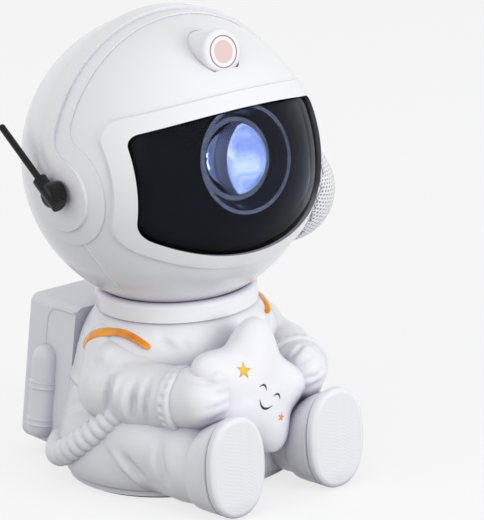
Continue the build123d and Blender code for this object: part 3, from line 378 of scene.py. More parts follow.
def smooth_sections(sections, steps):
    """Sections filled in along a smooth curve through the given ones."""
    filled = []
    for i in range(len(sections) - 1):
        a, b = np.array(sections[max(i - 1, 0)]), np.array(sections[i])
        c, d = np.array(sections[i + 1]), np.array(sections[min(i + 2, len(sections) - 1)])
        for step in range(steps):
            t = step / steps
            filled.append(0.5 * (2 * b + (c - a) * t + (2 * a - 5 * b + 4 * c - d) * t ** 2
                                 + (3 * b - a - 3 * c + d) * t ** 3))
    return filled + [np.array(sections[-1])]


boot_rings = [oval(*section, BOOT_SIDES)[::-1] for section in smooth_sections(BOOT_SECTIONS, 5)]
boot_points, boot_faces = stack(boot_rings)
boot_points = [(p[0], p[1], max(p[2], FLOOR_GAP)) for p in boot_points]
pair("boot_upper", boot_points, boot_faces, suit_white, "body", "white_plastic", "boot")
sole_rings = [oval(*section, SOLE_SIDES, middle=SOLE_MIDDLE)[::-1]
              for section in smooth_sections(SOLE_SECTIONS, 5)]
face_y, face_width, face_height = SOLE_SECTIONS[-1]
for step in range(1, FACE_RINGS):
    sole_rings.append(oval(face_y, face_width, face_height, SOLE_SIDES,
                           1 - step / FACE_RINGS, SOLE_MIDDLE)[::-1])
sole_points, sole_faces = stack(sole_rings)
treaded = []
for x, y, z in sole_points:
    inside = 1 - max(abs(x + LEG_X) / face_width, abs(z - SOLE_MIDDLE) / face_height)
    if y < face_y + 0.02 and inside > TREAD_MARGIN:
        wave = z + 0.5 * sin(2 * pi * x / 5.2) + 0.25 * sin(2 * pi * x / 2.3)
        y += TREAD_DEPTH * (0.5 + 0.5 * cos(2 * pi * wave / TREAD_PITCH))
    treaded.append((x, y, z))
pair("boot_sole", treaded, sole_faces, suit_white, "body", "white_plastic", "sole")

# Arms: plump sleeves glued to the shoulders, bent forward round the star. They
# are drawn in where the arm bends, and upright folds stand on the forearm.


def clay(lumps, voxel, rounds):
    """One skin over overlapping capsules (start, end, start radius, end radius),
    as a figure is built up from pellets of clay and smoothed."""
    build = bmesh.new()
    for start, end, start_radius, end_radius in lumps:
        start, end = Vector(start), Vector(end)
        for step in range(9):
            share = step / 8
            radius = start_radius + (end_radius - start_radius) * share
            bmesh.ops.create_icosphere(build, subdivisions=3, radius=radius * MM, matrix=(
                Matrix.Translation((start + (end - start) * share) * MM)))
    mesh = bpy.data.meshes.new("clay")
    build.to_mesh(mesh)
    build.free()
    lump = bpy.data.objects.new("clay", mesh)
    bpy.context.scene.collection.objects.link(lump)
    shell = lump.modifiers.new("shell", "REMESH")
    shell.mode = "VOXEL"
    shell.voxel_size = voxel * MM
    soften = lump.modifiers.new("soften", "SMOOTH")
    soften.factor = 0.5
    soften.iterations = rounds
    result = bpy.data.meshes.new_from_object(
        lump.evaluated_get(bpy.context.evaluated_depsgraph_get()))
    bpy.data.objects.remove(lump)
    return [v.co / MM for v in result.vertices], [tuple(p.vertices) for p in result.polygons]


SHOULDER, ELBOW = Vector((-32, 2, 58)), Vector((-40, -7, 44))
FOREARM, WRIST = Vector((-36.5, -21, 44.2)), Vector((-31, -38, 45))
WRIST_DIR = Vector((9, -31, 1)).normalized()
SLEEVE_PAST_WRIST = 2
SLEEVE_LUMPS = ((SHOULDER, ELBOW, 12.2, 14.9), (ELBOW, FOREARM, 14.9, 14.7),
                (FOREARM, WRIST, 14.7, 13.2), ((-38, -7, 54), (-32, -20, 51), 10.5, 10.0))
arm_points, arm_faces = clay(SLEEVE_LUMPS, 0.8, 10)
arm_points = [p - WRIST_DIR * max((p - WRIST).dot(WRIST_DIR) - SLEEVE_PAST_WRIST, 0)
              for p in arm_points]
sleeve_folds = [
    ([(-53.0, -2.0, 52.0), (-48.8, -6.5, 55.8), (-46.2, -11.7, 57.2),
      (-41.6, -13.3, 59.7)], 2.2, 0.7),
    ([(-49.9, -4.0, 54.3), (-48.8, -13.6, 54.4), (-50.8, -13.7, 50.6),
      (-53.0, -9.8, 47.4)], 2.4, 0.6),
    ([(-46.3, -19.5, 55.9), (-48.4, -17.9, 53.2), (-50.1, -19.0, 48.1), (-50.7, -19.0, 43.1),
      (-50.7, -17.6, 37.0)], 1.9, 2.9),
    ([(-45.6, -21.0, 55.1), (-48.5, -22.7, 49.3), (-49.6, -22.1, 41.8)], 1.7, -1.1),
    ([(-45.2, -30.3, 54.0), (-46.4, -31.5, 45.6), (-45.9, -29.2, 36.9)], 1.6, 2.5),
    ([(-47.0, -26.5, 51.8), (-48.0, -26.7, 43.0), (-46.4, -25.9, 36.6)], 1.7, -1.1),
    ([(-40.5, -35.2, 56.6), (-43.5, -36.8, 49.4), (-44.3, -36.3, 42.4),
      (-43.0, -34.8, 35.0)], 1.4, 2.1),
    ([(-44.4, -33.9, 52.0), (-45.3, -34.1, 40.0)], 1.5, -0.6),
]
arm_points = press(arm_points, arm_faces, sleeve_folds)
pair("sleeve", arm_points, arm_faces, suit_white, "body", "white_plastic", "arm")

# Cuffs: a moulded ABS band at each wrist, one piece with the sleeve's end, with
# a row of gathered dimples round it.
CUFF_RADIUS, CUFF_LENGTH, CUFF_PAST_WRIST, CUFF_SWELL = 12.7, 6.2, 0.6, 1.3
CUFF_DIMPLES, DIMPLE_DEPTH = 21, 0.75
CUFF_STEPS, CUFF_SIDES = 28, 210
wrist_up = (Vector((0, 0, 1)) - WRIST_DIR * WRIST_DIR.z).normalized()
wrist_away = WRIST_DIR.cross(wrist_up)
cuff_rings = []
for step in range(CUFF_STEPS + 1):
    share = step / CUFF_STEPS
    ring = []
    for i in range(CUFF_SIDES):
        angle = 2 * pi * i / CUFF_SIDES
        swell = CUFF_SWELL * max(1 - abs(2 * share - 1) ** 3, 0) ** 0.5
        dimple = (0.5 + 0.5 * cos(CUFF_DIMPLES * angle + 0.8 * sin(3 * angle))) ** 1.5
        swell -= DIMPLE_DEPTH * dimple * bump_at(share, 0.42 + 0.08 * sin(2 * angle), 0.2)
        radius = CUFF_RADIUS + swell
        ring.append(WRIST + WRIST_DIR * (CUFF_LENGTH * share + CUFF_PAST_WRIST)
                    + (wrist_up * cos(angle) + wrist_away * sin(angle)) * radius)
    cuff_rings.append(ring)
cuff_points, cuff_faces = stack(cuff_rings)
pair("cuff_band", cuff_points, cuff_faces, suit_white, "body", "white_plastic", "cuff")

# Mittens: white ABS mouldings glued into the cuffs. The right one has a thumb and
# shallow folds between its fingers; the left one's four fingers lie round the star.
hand_points, hand_faces = clay([
    ((-29.6, -42.5, 45.2), (-26.5, -50.5, 46.8), 12.4, 12.8),
    ((-23.0, -55.0, 43.4), (-22.8, -55.0, 51.4), 7.6, 7.4),
    ((-29.2, -47.5, 53.8), (-23.4, -57.2, 55.4), 6.4, 5.2)], 0.6, 48)
FINGER_HEIGHTS = (42.4, 46.6, 50.8)
right_folds = [([(-31.0, -56.5, z - 0.4), (-25.5, -61.0, z), (-18.0, -60.5, z + 0.4)], 1.3, 0.6)
               for z in FINGER_HEIGHTS]
right_folds.append(([(-34.0, -51.0, 56.4), (-28.5, -57.0, 54.6), (-22.0, -60.5, 54.6)], 1.4, 0.8))
hand_points = press(hand_points, hand_faces, right_folds)
skin("right_mitten", hand_points, hand_faces, suit_white, "body", "white_plastic",
     ("right_glove",))
hand_points, hand_faces = clay([
    ((29.6, -42.5, 45.5), (26.4, -49.5, 46.2), 12.2, 10.8),
    ((25.8, -51.6, 41.4), (24.8, -51.6, 51.2), 8.0, 7.6)], 0.6, 30)
left_folds = [
    ([(16.0, -51.0, 53.0), (18.5, -53.0, 54.2), (21.5, -53.6, 56.0), (26.0, -52.5, 57.8)], 1.3, 1.5),
    ([(16.5, -57.0, 49.5), (19.5, -58.5, 50.6), (23.5, -59.8, 52.4), (29.5, -58.5, 54.4)], 1.3, 1.0),
    ([(17.0, -59.0, 44.8), (21.0, -60.6, 45.6), (25.2, -61.0, 46.1), (31.5, -58.0, 48.0)], 1.3, 0.9),
    ([(17.0, -57.5, 40.0), (21.5, -59.8, 41.0), (26.0, -60.5, 42.2), (31.5, -57.0, 44.0)], 1.3, 0.9),
]
hand_points = press(hand_points, hand_faces, left_folds)
skin("left_mitten", hand_points, hand_faces, suit_white, "body", "white_plastic", ("left_glove",))

# Shoulder stripes: raised ribs in the moulding, sprayed with glossy amber paint
# that is darker in random patches and, as painted shade, along their edges. The left one lies nearer
# the neck.


def gloss_paint(name, colour, edge):
    """Sprayed enamel paint: hard gloss, darker in random patches, and darker along its edges with
    painted shade from an occlusion mask.
    """
    material, tree = new_material(name)
    place = add_node(tree, "ShaderNodeTexCoord")
    # Painted shade: the occlusion mask pulls the colour towards the edge colour where the paint meets
    # a corner; the noise below adds random darker patches.
    painted_shade_mask = add_node(tree, "ShaderNodeAmbientOcclusion", {"samples": 8}, {"Distance": 1.6 * MM})
    cloud = add_node(tree, "ShaderNodeTexNoise", None, {
        "Vector": place.outputs["Object"], "Scale": 1 / (11 * MM), "Detail": 1.0})
    pool = add_node(tree, "ShaderNodeMapRange", None, {
        "Value": cloud.outputs["Fac"], "From Min": 0.35, "From Max": 0.6, "To Min": 0.45,
        "To Max": 1.0})
    share = add_node(tree, "ShaderNodeMath", {"operation": "MULTIPLY"}, {
        0: painted_shade_mask.outputs["AO"], 1: pool.outputs["Result"]})
    tint = add_node(tree, "ShaderNodeMix", {"data_type": "RGBA"}, {
        0: share.outputs[0], 6: linear(edge), 7: linear(colour)})
    shader = add_node(tree, "ShaderNodeBsdfPrincipled", None, {
        "Base Color": tint.outputs[2], "Roughness": 0.22, "IOR": 1.5, "Coat Weight": 0.6,
        "Coat Roughness": 0.05})
    add_node(tree, "ShaderNodeOutputMaterial", None, {"Surface": shader.outputs["BSDF"]})
    return material


# The darker amber shows in random patches and as painted shade along the rib's edges.
amber_paint = gloss_paint("stripe_enamel_amber", "#FBA010", "#AA5206")
STRIPE_LINE = ((-44.6, 12.6, 57.0), (-43.0, 6.5, 64.0), (-40.6, -1.0, 68.2), (-37.4, -8.0, 69.0),
               (-34.4, -16.0, 67.4), (-31.0, -26.0, 62.4))
STRIPE_HALF, STRIPE_RAISE, STRIPE_SINK = 2.3, 0.9, 0.1
STRIPE_SIDES, LEFT_STRIPE_INWARD = 32, 5.0
SHOULDER_CORE_X, SHOULDER_CORE_Z = -28, 52
stripe_carrier = BVHTree.FromPolygons(
    [Vector(p) for p in arm_points] + [Vector(p) for p in torso_points],
    arm_faces + [tuple(i + len(arm_points) for i in face) for face in torso_faces])


def shoulder_rib(inward):
    """Skin of the rib over the right shoulder, laid on the suit nearer the neck by inward."""
    path = [Vector(p) + Vector((inward, 0, 0)) for p in smooth_sections(STRIPE_LINE, 12)]
    last = len(path) - 1
    for sweep in range(4):
        path = [stripe_carrier.find_nearest(p)[0] for p in path]
        path = [sum((path[min(max(i + k, 0), last)] for k in range(-4, 5)), Vector()) / 9
                for i in range(last + 1)]
    rings = []
    for i, spot in enumerate(path):
        ahead = (path[min(i + 1, last)] - path[max(i - 1, 0)]).normalized()
        out = (spot - Vector((SHOULDER_CORE_X, spot.y, SHOULDER_CORE_Z))).normalized()
        out = (out - ahead * out.dot(ahead)).normalized()
        across = ahead.cross(out)
        taper = max(1 - abs(2 * i / last - 1) ** 12, 0.02) ** 0.5
        rings.append([spot + across * (STRIPE_HALF * taper * cos(a))
                      + out * (STRIPE_RAISE * taper * sin(a) - STRIPE_SINK)
                      for a in (2 * pi * k / STRIPE_SIDES for k in range(STRIPE_SIDES))])
    return stack(rings)


skin("right_shoulder_rib", *shoulder_rib(0.0), amber_paint, "body", "orange_paint",
     ("right_stripe",))
skin("left_shoulder_rib", *mirrored(*shoulder_rib(LEFT_STRIPE_INWARD)), amber_paint, "body",
     "orange_paint", ("left_stripe",))

# Star: a puffed five-lobed ABS shell held on the lap, white, with a small pad
# print on its front: two little stars and a plain smile.
STAR_MIDDLE = Vector((-4.5, -53.5, 46))
STAR_LEAN = radians(7)
STAR_ACROSS = Vector((1, 0, 0))
STAR_UP = Vector((0, sin(STAR_LEAN), cos(STAR_LEAN)))
STAR_OUT = Vector((0, -cos(STAR_LEAN), sin(STAR_LEAN)))
STAR_DEEP, STAR_BODY, LOBE_WIDTH = 10.6, 19.3, 25
STAR_LOBES = ((75, 11.0), (147, 11.0), (219, 11.0), (291, 11.0), (-6, 9.0))
STAR_STEPS, STAR_SIDES = 44, 220
INK_LIFT, INK_SINK = 0.12, -0.4


def star_edge(angle):
    """Reach of the star's outline at an angle: a round middle with five soft lobes."""
    reach = STAR_BODY
    for lobe, height in STAR_LOBES:
        away = (degrees(angle) - lobe + 180) % 360 - 180
        reach += height * bump_at(away, 0, LOBE_WIDTH)
    return reach


def star_spot(across, up, lift, side=1):
    """Point on the star's puffed front or back, a little above its surface."""
    share = min(hypot(across, up) / star_edge(atan2(up, across)), 1)
    deep = STAR_DEEP * max(1 - share ** 2.6, 0) ** 0.5
    return STAR_MIDDLE + STAR_ACROSS * across + STAR_UP * up + STAR_OUT * side * (deep + lift)


star_rings = []
for step in range(1, 2 * STAR_STEPS + 1):
    share = step / STAR_STEPS
    side = 1 if share <= 1 else -1
    reach = sin(pi / 2 * min(share, 2 - share)) if share != 1 else 1.0
    ring = []
    for i in range(STAR_SIDES):
        angle = 2 * pi * i / STAR_SIDES
        edge = star_edge(angle) * reach
        ring.append(star_spot(edge * cos(angle), edge * sin(angle), 0, side))
    if reach > 0.001:
        star_rings.append(ring)
star_points, star_faces = stack(star_rings)
# Its second colour is painted shade, mixed in at corners and creases.
star_white = white_abs("star_abs_white", "#EEEEF4", "#BDB9CB", 0.3, 0.2)
skin("star_puff", star_points, star_faces, star_white, "body", "star_plastic", ("star",))


def print_mark(name, outline, material, brushed=False):
    """Pad-printed mark: a skin of ink that follows the star's front. A brushed
    mark is filled from edge to edge along its stroke, any other from its middle."""
    count = len(outline)
    middle = (sum(p[0] for p in outline) / count, sum(p[1] for p in outline) / count)
    points = [star_spot(*p, lift) for lift in (INK_LIFT, INK_SINK) for p in outline]
    faces = [(i, (i + 1) % count, count + (i + 1) % count, count + i) for i in range(count)]
    if brushed:
        half = count // 2
        for i in range(half - 1):
            faces.append((i, count - 1 - i, count - 2 - i, i + 1))
            faces.append((count + i + 1, 2 * count - 2 - i, 2 * count - 1 - i, count + i))
    else:
        points += [star_spot(*middle, INK_LIFT), star_spot(*middle, INK_SINK)]
        for i in range(count):
            j = (i + 1) % count
            faces.append((2 * count, j, i))
            faces.append((2 * count + 1, count + i, count + j))
    return skin(name, points, faces, material, "body", "star_plastic")


def stroke(middle, tilt, half_width, rise, thick):
    """Outline of a curved brush stroke that thins towards its ends."""
    upper, lower = [], []
    for step in range(25):
        share = step / 12 - 1
        across, up = half_width * share, rise * (1 - share * share)
        weight = thick / 2 * (1 - 0.75 * abs(share) ** 2.5)
        for side, line in ((1, upper), (-1, lower)):
            x, y = across, up + side * weight
            line.append((middle[0] + x * cos(tilt) - y * sin(tilt),
                         middle[1] + x * sin(tilt) + y * cos(tilt)))
    return upper + lower[::-1]


def little_star(middle, reach, tilt):
    """Outline of a small five-pointed star."""
    points = []
    for i in range(10):
        angle = tilt + pi / 5 * i
        radius = reach if i % 2 == 0 else reach * 0.42
        points.append((middle[0] + radius * cos(angle), middle[1] + radius * sin(angle)))
    return points


ink_black = grained_plastic("print_ink_black", "#1B1A20", 0.35, 0.4, 0.1)
# Each ink's second colour shows in random patches and as painted shade along its edges.
ink_yellow = gloss_paint("print_ink_yellow", "#F6D04A", "#E8B224")
ink_orange = gloss_paint("print_ink_orange", "#F4A42E", "#E08A18")
SMILE_TILT = radians(-33)
print_mark("print_star_large", little_star((-7.8, 11.0), 3.7, radians(73)), ink_yellow)
print_mark("print_star_small", little_star((8.0, -12.4), 1.9, radians(70)), ink_orange)
print_mark("print_eye_right", stroke((-0.15, 1.7), SMILE_TILT, 2.0, 1.6, 0.8), ink_black, True)
print_mark("print_eye_left", stroke((6.4, -3.7), SMILE_TILT, 2.0, 1.6, 0.8), ink_black, True)
print_mark("print_mouth", stroke((0.55, -4.4), SMILE_TILT, 3.6, -2.5, 1.0), ink_black, True)

# Backpack: a hollow ABS box glued to the back, a slightly greyer white. A raised
# bead runs up each side and forward under the top edge, where its panels meet.
# Its second colour is painted shade, mixed in at corners and creases.
pack_white = white_abs("pack_abs_white", "#E4E5EB", "#B2B0BF", 0.36, 0.1)
finish_nodes(pack_white, "pack_housing", "pack_cover")


def bead(path, outs, radius):
    """Thin raised line: a round bar along a path, half sunk in the surface below it."""
    rings = []
    for i, spot in enumerate(path):
        ahead = Vector(path[min(i + 1, len(path) - 1)]) - Vector(path[max(i - 1, 0)])
        away = Vector(outs[i]).normalized()
        across = ahead.normalized().cross(away)
        rings.append([Vector(spot) + (across * cos(a) + away * sin(a)) * radius
                      for a in (2 * pi * k / 12 for k in range(12))])
    return stack(rings)


PACK_SIDE, PACK_BEAD = Vector((-63, 0, 10)).normalized(), 0.45
side_line = smooth_sections(((-36.4, 47.0, 50.0), (-35.4, 47.1, 56.8), (-34.6, 46.6, 62.0),
                             (-34.1, 44.6, 65.0), (-33.9, 41.0, 66.4), (-33.8, 27.4, 67.1)), 8)
pair("pack_bead", *bead(side_line, [PACK_SIDE] * len(side_line), PACK_BEAD), pack_white, "body",
     "white_plastic")

# Tanks: a long round-ended bottle moulded in ABS, glued to each side of the pack
# under two straps, each a flat band with a raised cord along both of its edges.
TANK_LOW, TANK_HIGH, TANK_RADIUS = Vector((-42.0, 45, 15.5)), Vector((-37.5, 45, 44)), 6.5
TANK_STEPS, TANK_SIDES, TANK_TIP = 220, 72, 0.02
STRAP_HEIGHTS, STRAP_HALF = (17.0, 33.0), 1.2
STRAP_RAISE, CORD_RAISE, CORD_OFF = 0.35, 0.45, 1.3
tank_length = (TANK_HIGH - TANK_LOW).length
tank_up = (TANK_HIGH - TANK_LOW).normalized()
tank_across = tank_up.cross(Vector((0, 1, 0))).normalized()
tank_rings = []
for step in range(TANK_STEPS + 1):
    end_to_end = tank_length + 2 * TANK_RADIUS - 2 * TANK_TIP
    reach = -TANK_RADIUS + TANK_TIP + end_to_end * step / TANK_STEPS
    middle = TANK_LOW + tank_up * reach
    beyond = max(-reach, reach - tank_length, 0)
    radius = sqrt(TANK_RADIUS ** 2 - beyond ** 2)
    for strap in STRAP_HEIGHTS:
        from_strap = abs(middle.z - strap)
        radius += (STRAP_RAISE * bump_at(max(from_strap - STRAP_HALF, 0), 0, 0.3)
                   + CORD_RAISE * bump_at(from_strap, CORD_OFF, 0.4))
    tank_rings.append([middle + (tank_across * cos(a) + Vector((0, sin(a), 0))) * radius
                       for a in (2 * pi * i / TANK_SIDES for i in range(TANK_SIDES))])
pair("strapped_tank", *stack(tank_rings), pack_white, "body", "white_plastic", "tank")

# Hoses: ribbed ABS tubes from the pack round each hip, under the arm, to a
# plain end plugged into the front of the suit.
HOSE_POINTS = ((-39, 33.5, 11.5), (-55, 10, 15), (-44.6, -19, 39))
HOSE_ENDS = ((-0.75, -0.66, 0.0), (0.35, -0.6, 0.72))
HOSE_RIBS, HOSE_RADIUS, RIB_RAISE = 16, 4.6, 1.1
PLAIN_START, RIBBED_SHARE = 0.04, 0.94
HOSE_STEPS, HOSE_SIDES = 280, 48


def hose_spot(share):
    """Place on the hose's middle line: two curved runs that meet at the hip."""
    start, hip, end = (Vector(p) for p in HOSE_POINTS)
    pull = (end - start).normalized()
    runs = ((start, hip, Vector(HOSE_ENDS[0]).normalized(), pull),
            (hip, end, pull, Vector(HOSE_ENDS[1]).normalized()))
    first, last, leave, arrive = runs[0 if share < 0.5 else 1]
    t = 2 * share - (0 if share < 0.5 else 1)
    length = (last - first).length
    return (first * (2 * t ** 3 - 3 * t ** 2 + 1) + leave * length * (t ** 3 - 2 * t ** 2 + t)
            + last * (3 * t ** 2 - 2 * t ** 3) + arrive * length * (t ** 3 - t ** 2))


hose_rings = []
for step in range(HOSE_STEPS + 1):
    share = step / HOSE_STEPS
    heading = (hose_spot(min(share + 0.004, 1)) - hose_spot(max(share - 0.004, 0))).normalized()
    up = (Vector((0, 0, 1)) - heading * heading.z).normalized()
    away = heading.cross(up)
    ribbed = min(max((share - PLAIN_START) / RIBBED_SHARE, 0), 1)
    rib = abs(sin(pi * HOSE_RIBS * ribbed)) ** 0.7 if 0 < ribbed < 1 else 0
    radius = HOSE_RADIUS + RIB_RAISE * rib
    hose_rings.append([hose_spot(share) + (up * cos(a) + away * sin(a)) * radius
                       for a in (2 * pi * i / HOSE_SIDES for i in range(HOSE_SIDES))])
pair("ribbed_hose", *stack(hose_rings), suit_white, "body", "hose_plastic", "hose")

# Helmet: two polished white ABS shells glued on a seam that a raised crown band
# hides, with a round lobe over each ear. A fine bead follows the seam below them.
finish_nodes(helmet_white, "helmet_front", "helmet_rear", "crown_band")
HEAD = Vector((0, 0, 134.196))
HELMET_RADIUS, SEAM_BEAD = 62.0, 0.35
seam_line = smooth_sections(((-57.8, -13.2, -18.5), (-55.4, -15.4, -23.0), (-51.0, -17.2, -30.3),
                             (-45.0, -17.0, -38.6), (-38.5, -15.0, -45.9), (-33.0, -12.0, -51.0)), 10)
seam_outs = [Vector(spot).normalized() for spot in seam_line]
seam_spots = [HEAD + out * HELMET_RADIUS for out in seam_outs]
pair("helmet_bead", *bead(seam_spots, seam_outs, SEAM_BEAD), helmet_white, "head", "white_plastic")

# Visor: smoked acrylic, moulded to the helmet's curve and glued in from behind.
# A black liner hides the works, all but the round lens that looks through it.


def clear_plastic(name, colour, roughness, ior, coat=0.0):
    """Polished clear or smoked plastic that lets a tinted view through."""
    material, tree = new_material(name)
    place = add_node(tree, "ShaderNodeTexCoord")
    wave = add_node(tree, "ShaderNodeTexNoise", None, {
        "Vector": place.outputs["Object"], "Scale": 1 / (30 * MM), "Detail": 1.0})
    spread = add_node(tree, "ShaderNodeMapRange", None, {
        "Value": wave.outputs["Fac"], "To Min": roughness * 0.6, "To Max": roughness * 1.4})
    shader = add_node(tree, "ShaderNodeBsdfPrincipled", None, {
        "Base Color": linear(colour), "Roughness": spread.outputs["Result"], "IOR": ior,
        "Transmission Weight": 1.0, "Coat Weight": coat, "Coat Roughness": 0.03})
    add_node(tree, "ShaderNodeOutputMaterial", None, {"Surface": shader.outputs["BSDF"]})
    return material


# The sheet's two faces cancel each other's bending of light, so its IOR is kept
# near 1, and a thin coat gives it the gloss of acrylic.
smoked_acrylic = clear_plastic("visor_acrylic_smoked", "#AFB7CC", 0.03, 1.06, coat=0.15)
black_abs = grained_plastic("liner_abs_black", "#070A14", 0.6, 1.2, 0.05, specular=0.1)
finish_nodes(smoked_acrylic, "visor")
finish_nodes(black_abs, "visor_liner")

# Laser eye: a white barrel on the forehead with a trim ring pressed into its end,
# a thin bronze line round the ring, a frosted pink window and the brass diode
# module behind it.
BARREL_LATITUDE, BARREL_TILT = radians(51.75), radians(12)
BARREL_REACH = HELMET_RADIUS + 4.2
BARREL_FACE = HEAD + Vector((0, -cos(BARREL_LATITUDE), sin(BARREL_LATITUDE))) * BARREL_REACH
BARREL_OUT = Vector((0, -cos(BARREL_TILT), sin(BARREL_TILT)))
BARREL_UP = Vector((0, sin(BARREL_TILT), cos(BARREL_TILT)))
TRIM_RADIUS, LINE_HALF, LINE_STEPS, LINE_SIDES = 6.5, 0.24, 96, 10
# The darker bronze shows in random patches and as painted shade where the line meets the trim.
trim_bronze = gloss_paint("trim_enamel_bronze", "#A98A7C", "#7A5648")
laser_pink = grained_plastic("laser_window_pink", "#E4C9C5", 0.25, 0.8, 0.05, coat=0.5)
module_brass = worked_metal("module_brass", "#C9A05A", 0.25, 0.5)
finish_nodes(helmet_white, "laser_barrel", "laser_trim")
finish_nodes(laser_pink, "laser_lens")
finish_nodes(module_brass, "laser_module")
line_rings = []
for i in range(LINE_STEPS):
    angle = 2 * pi * i / LINE_STEPS
    out = Vector((1, 0, 0)) * cos(angle) + BARREL_UP * sin(angle)
    line_rings.append([BARREL_FACE + out * (TRIM_RADIUS + LINE_HALF * cos(a))
                       + BARREL_OUT * LINE_HALF * sin(a)
                       for a in (2 * pi * k / LINE_SIDES for k in range(LINE_SIDES))])


def closed_loop(rings):
    """Points and faces of rings joined into a loop, the last one to the first."""
    count, sides = len(rings), len(rings[0])
    faces = []
    for r in range(count):
        here, ahead = r * sides, (r + 1) % count * sides
        for i in range(sides):
            j = (i + 1) % sides
            faces.append((here + i, here + j, ahead + j, ahead + i))
    return [p for ring in rings for p in ring], faces


skin("laser_trim_line", *closed_loop(line_rings), trim_bronze, "head", "white_plastic")

# Nebula optics: a clear lens in a black ring, a rippled wheel that a small
# geared motor turns, and the lamp board on its finned heat sink.
lens_acrylic = clear_plastic("lens_acrylic_clear", "#DDE6FF", 0.03, 1.49)


def painted_glow_ripple(name, dark, bright, ripple_mm, glow):
    """Rippled clear plastic with painted glow: an emission in clouds stands in for light shining
    through it from behind.
    """
    material, tree = new_material(name)
    place = add_node(tree, "ShaderNodeTexCoord")
    wave = add_node(tree, "ShaderNodeTexNoise", None, {
        "Vector": place.outputs["Object"], "Scale": 1 / (ripple_mm * MM), "Detail": 4.0,
        "Distortion": 1.5})
    cloud = add_node(tree, "ShaderNodeMapRange", None, {
        "Value": wave.outputs["Fac"], "From Min": 0.35, "From Max": 0.7})
    tint = add_node(tree, "ShaderNodeMix", {"data_type": "RGBA"}, {
        0: cloud.outputs["Result"], 6: linear(dark), 7: linear(bright)})
    bump = add_node(tree, "ShaderNodeBump", None, {
        "Height": wave.outputs["Fac"], "Strength": 0.6, "Distance": 0.5 * MM})
    # Painted glow: the clouds' colour is also emitted, though the wheel is no lamp.
    shader = add_node(tree, "ShaderNodeBsdfPrincipled", None, {
        "Base Color": tint.outputs[2], "Roughness": 0.15, "IOR": 1.49, "Transmission Weight": 0.3,
        "Emission Color": tint.outputs[2], "Emission Strength": glow,
        "Normal": bump.outputs["Normal"]})
    add_node(tree, "ShaderNodeOutputMaterial", None, {"Surface": shader.outputs["BSDF"]})
    return material


# The wheel's glow is painted light, standing in for the lamp board, which gives no light here.
wheel_acrylic = painted_glow_ripple("wheel_acrylic_painted_glow", "#8293B6", "#FFFFFF", 4, 1.7)
ring_abs = grained_plastic("ring_abs_black_gloss", "#2A2C34", 0.16, 0.6, 0.05, coat=1.0)
pinion_nylon = grained_plastic("pinion_nylon", "#E8E2CF", 0.5, 0.4, 0.2)
motor_steel = worked_metal("motor_steel_plated", "#BDBEC2", 0.3, 0.5)
sink_aluminium = worked_metal("sink_aluminium", "#D2D4D6", 0.4, 0.5)
board_green = grained_plastic("board_epoxy_green", "#1F6B45", 0.45, 0.5, 0.3)
finish_nodes(lens_acrylic, "nebula_lens")
finish_nodes(wheel_acrylic, "nebula_wheel")
finish_nodes(ring_abs, "lens_ring", "optics_frame")
finish_nodes(pinion_nylon, "drive_pinion")
finish_nodes(motor_steel, "drive_motor", "usb_socket")
finish_nodes(sink_aluminium, "heat_sink")
finish_nodes(board_green, "led_board", "main_board")

# Controls on the back of the helmet: three grey moulded push buttons in a row
# above the power socket, each on its own switch.
button_abs = grained_plastic("button_abs_grey", "#C9CBD2", 0.4, 0.5, 0.2)
finish_nodes(button_abs, "laser_button", "power_button", "nebula_button")

# Ear speaker: a black driver glued in the left ear under a moulded white dome,
# which is pierced with small round holes in rows and has a plain rim.
POD_AZIMUTH, POD_LATITUDE = radians(71), radians(-22)
POD_OUT = Vector((cos(POD_LATITUDE) * sin(POD_AZIMUTH), -cos(POD_LATITUDE) * cos(POD_AZIMUTH),
                  sin(POD_LATITUDE)))
POD_FROM_HEAD, POD_RADIUS, POD_WALL, POD_SINK = 52, 22.0, 1.0, 0.15
POD_MIDDLE = HEAD + POD_OUT * POD_FROM_HEAD
HOLE_PITCH, HOLE_RADIUS, HOLE_SIDES, HOLE_ROWS = 2.1, 0.56, 12, 16
HOLED_REACH, POD_REACH, RIM_SIDES = 25.6, 29.5, 120
pod_up = (Vector((0, 0, 1)) - POD_OUT * POD_OUT.z).normalized()
pod_across = POD_OUT.cross(pod_up)


def pod_spot(x, y, radius):
    """Place on the dome, reached by walking over it from its middle."""
    walk = hypot(x, y)
    angle = walk / POD_RADIUS
    heading = (pod_across * x + pod_up * y) / walk if walk else Vector()
    return POD_MIDDLE + (POD_OUT * cos(angle) + heading * sin(angle)) * radius


dome_points, dome_faces, corners = [], [], {}
cell_reach = HOLE_PITCH / sqrt(3)
for row in range(-HOLE_ROWS, HOLE_ROWS + 1):
    for column in range(-HOLE_ROWS, HOLE_ROWS + 1):
        cx = HOLE_PITCH * (column + (row % 2) / 2)
        cy = HOLE_PITCH * row * sqrt(3) / 2
        if hypot(cx, cy) > HOLED_REACH:
            continue
        outer, inner = [], []
        for i in range(HOLE_SIDES):
            angle = pi / 6 * i + pi / 6
            reach = cell_reach if i % 2 == 0 else cell_reach * cos(pi / 6)
            x, y = cx + reach * cos(angle), cy + reach * sin(angle)
            key = (round(x, 2), round(y, 2))
            if key not in corners:
                corners[key] = len(dome_points)
                dome_points.append(pod_spot(x, y, POD_RADIUS - POD_SINK))
            outer.append(corners[key])
            inner.append(len(dome_points))
            dome_points.append(pod_spot(cx + HOLE_RADIUS * cos(angle),
                                        cy + HOLE_RADIUS * sin(angle), POD_RADIUS - POD_SINK))
        for i in range(HOLE_SIDES):
            j = (i + 1) % HOLE_SIDES
            dome_faces.append((outer[i], outer[j], inner[j], inner[i]))
dome = skin("speaker_dome", dome_points, dome_faces, helmet_white, "head", "white_plastic",
            ("speaker_grille",))
thicken = dome.modifiers.new("wall", "SOLIDIFY")
thicken.thickness = POD_WALL * MM
thicken.offset = -1
rim_rings = []
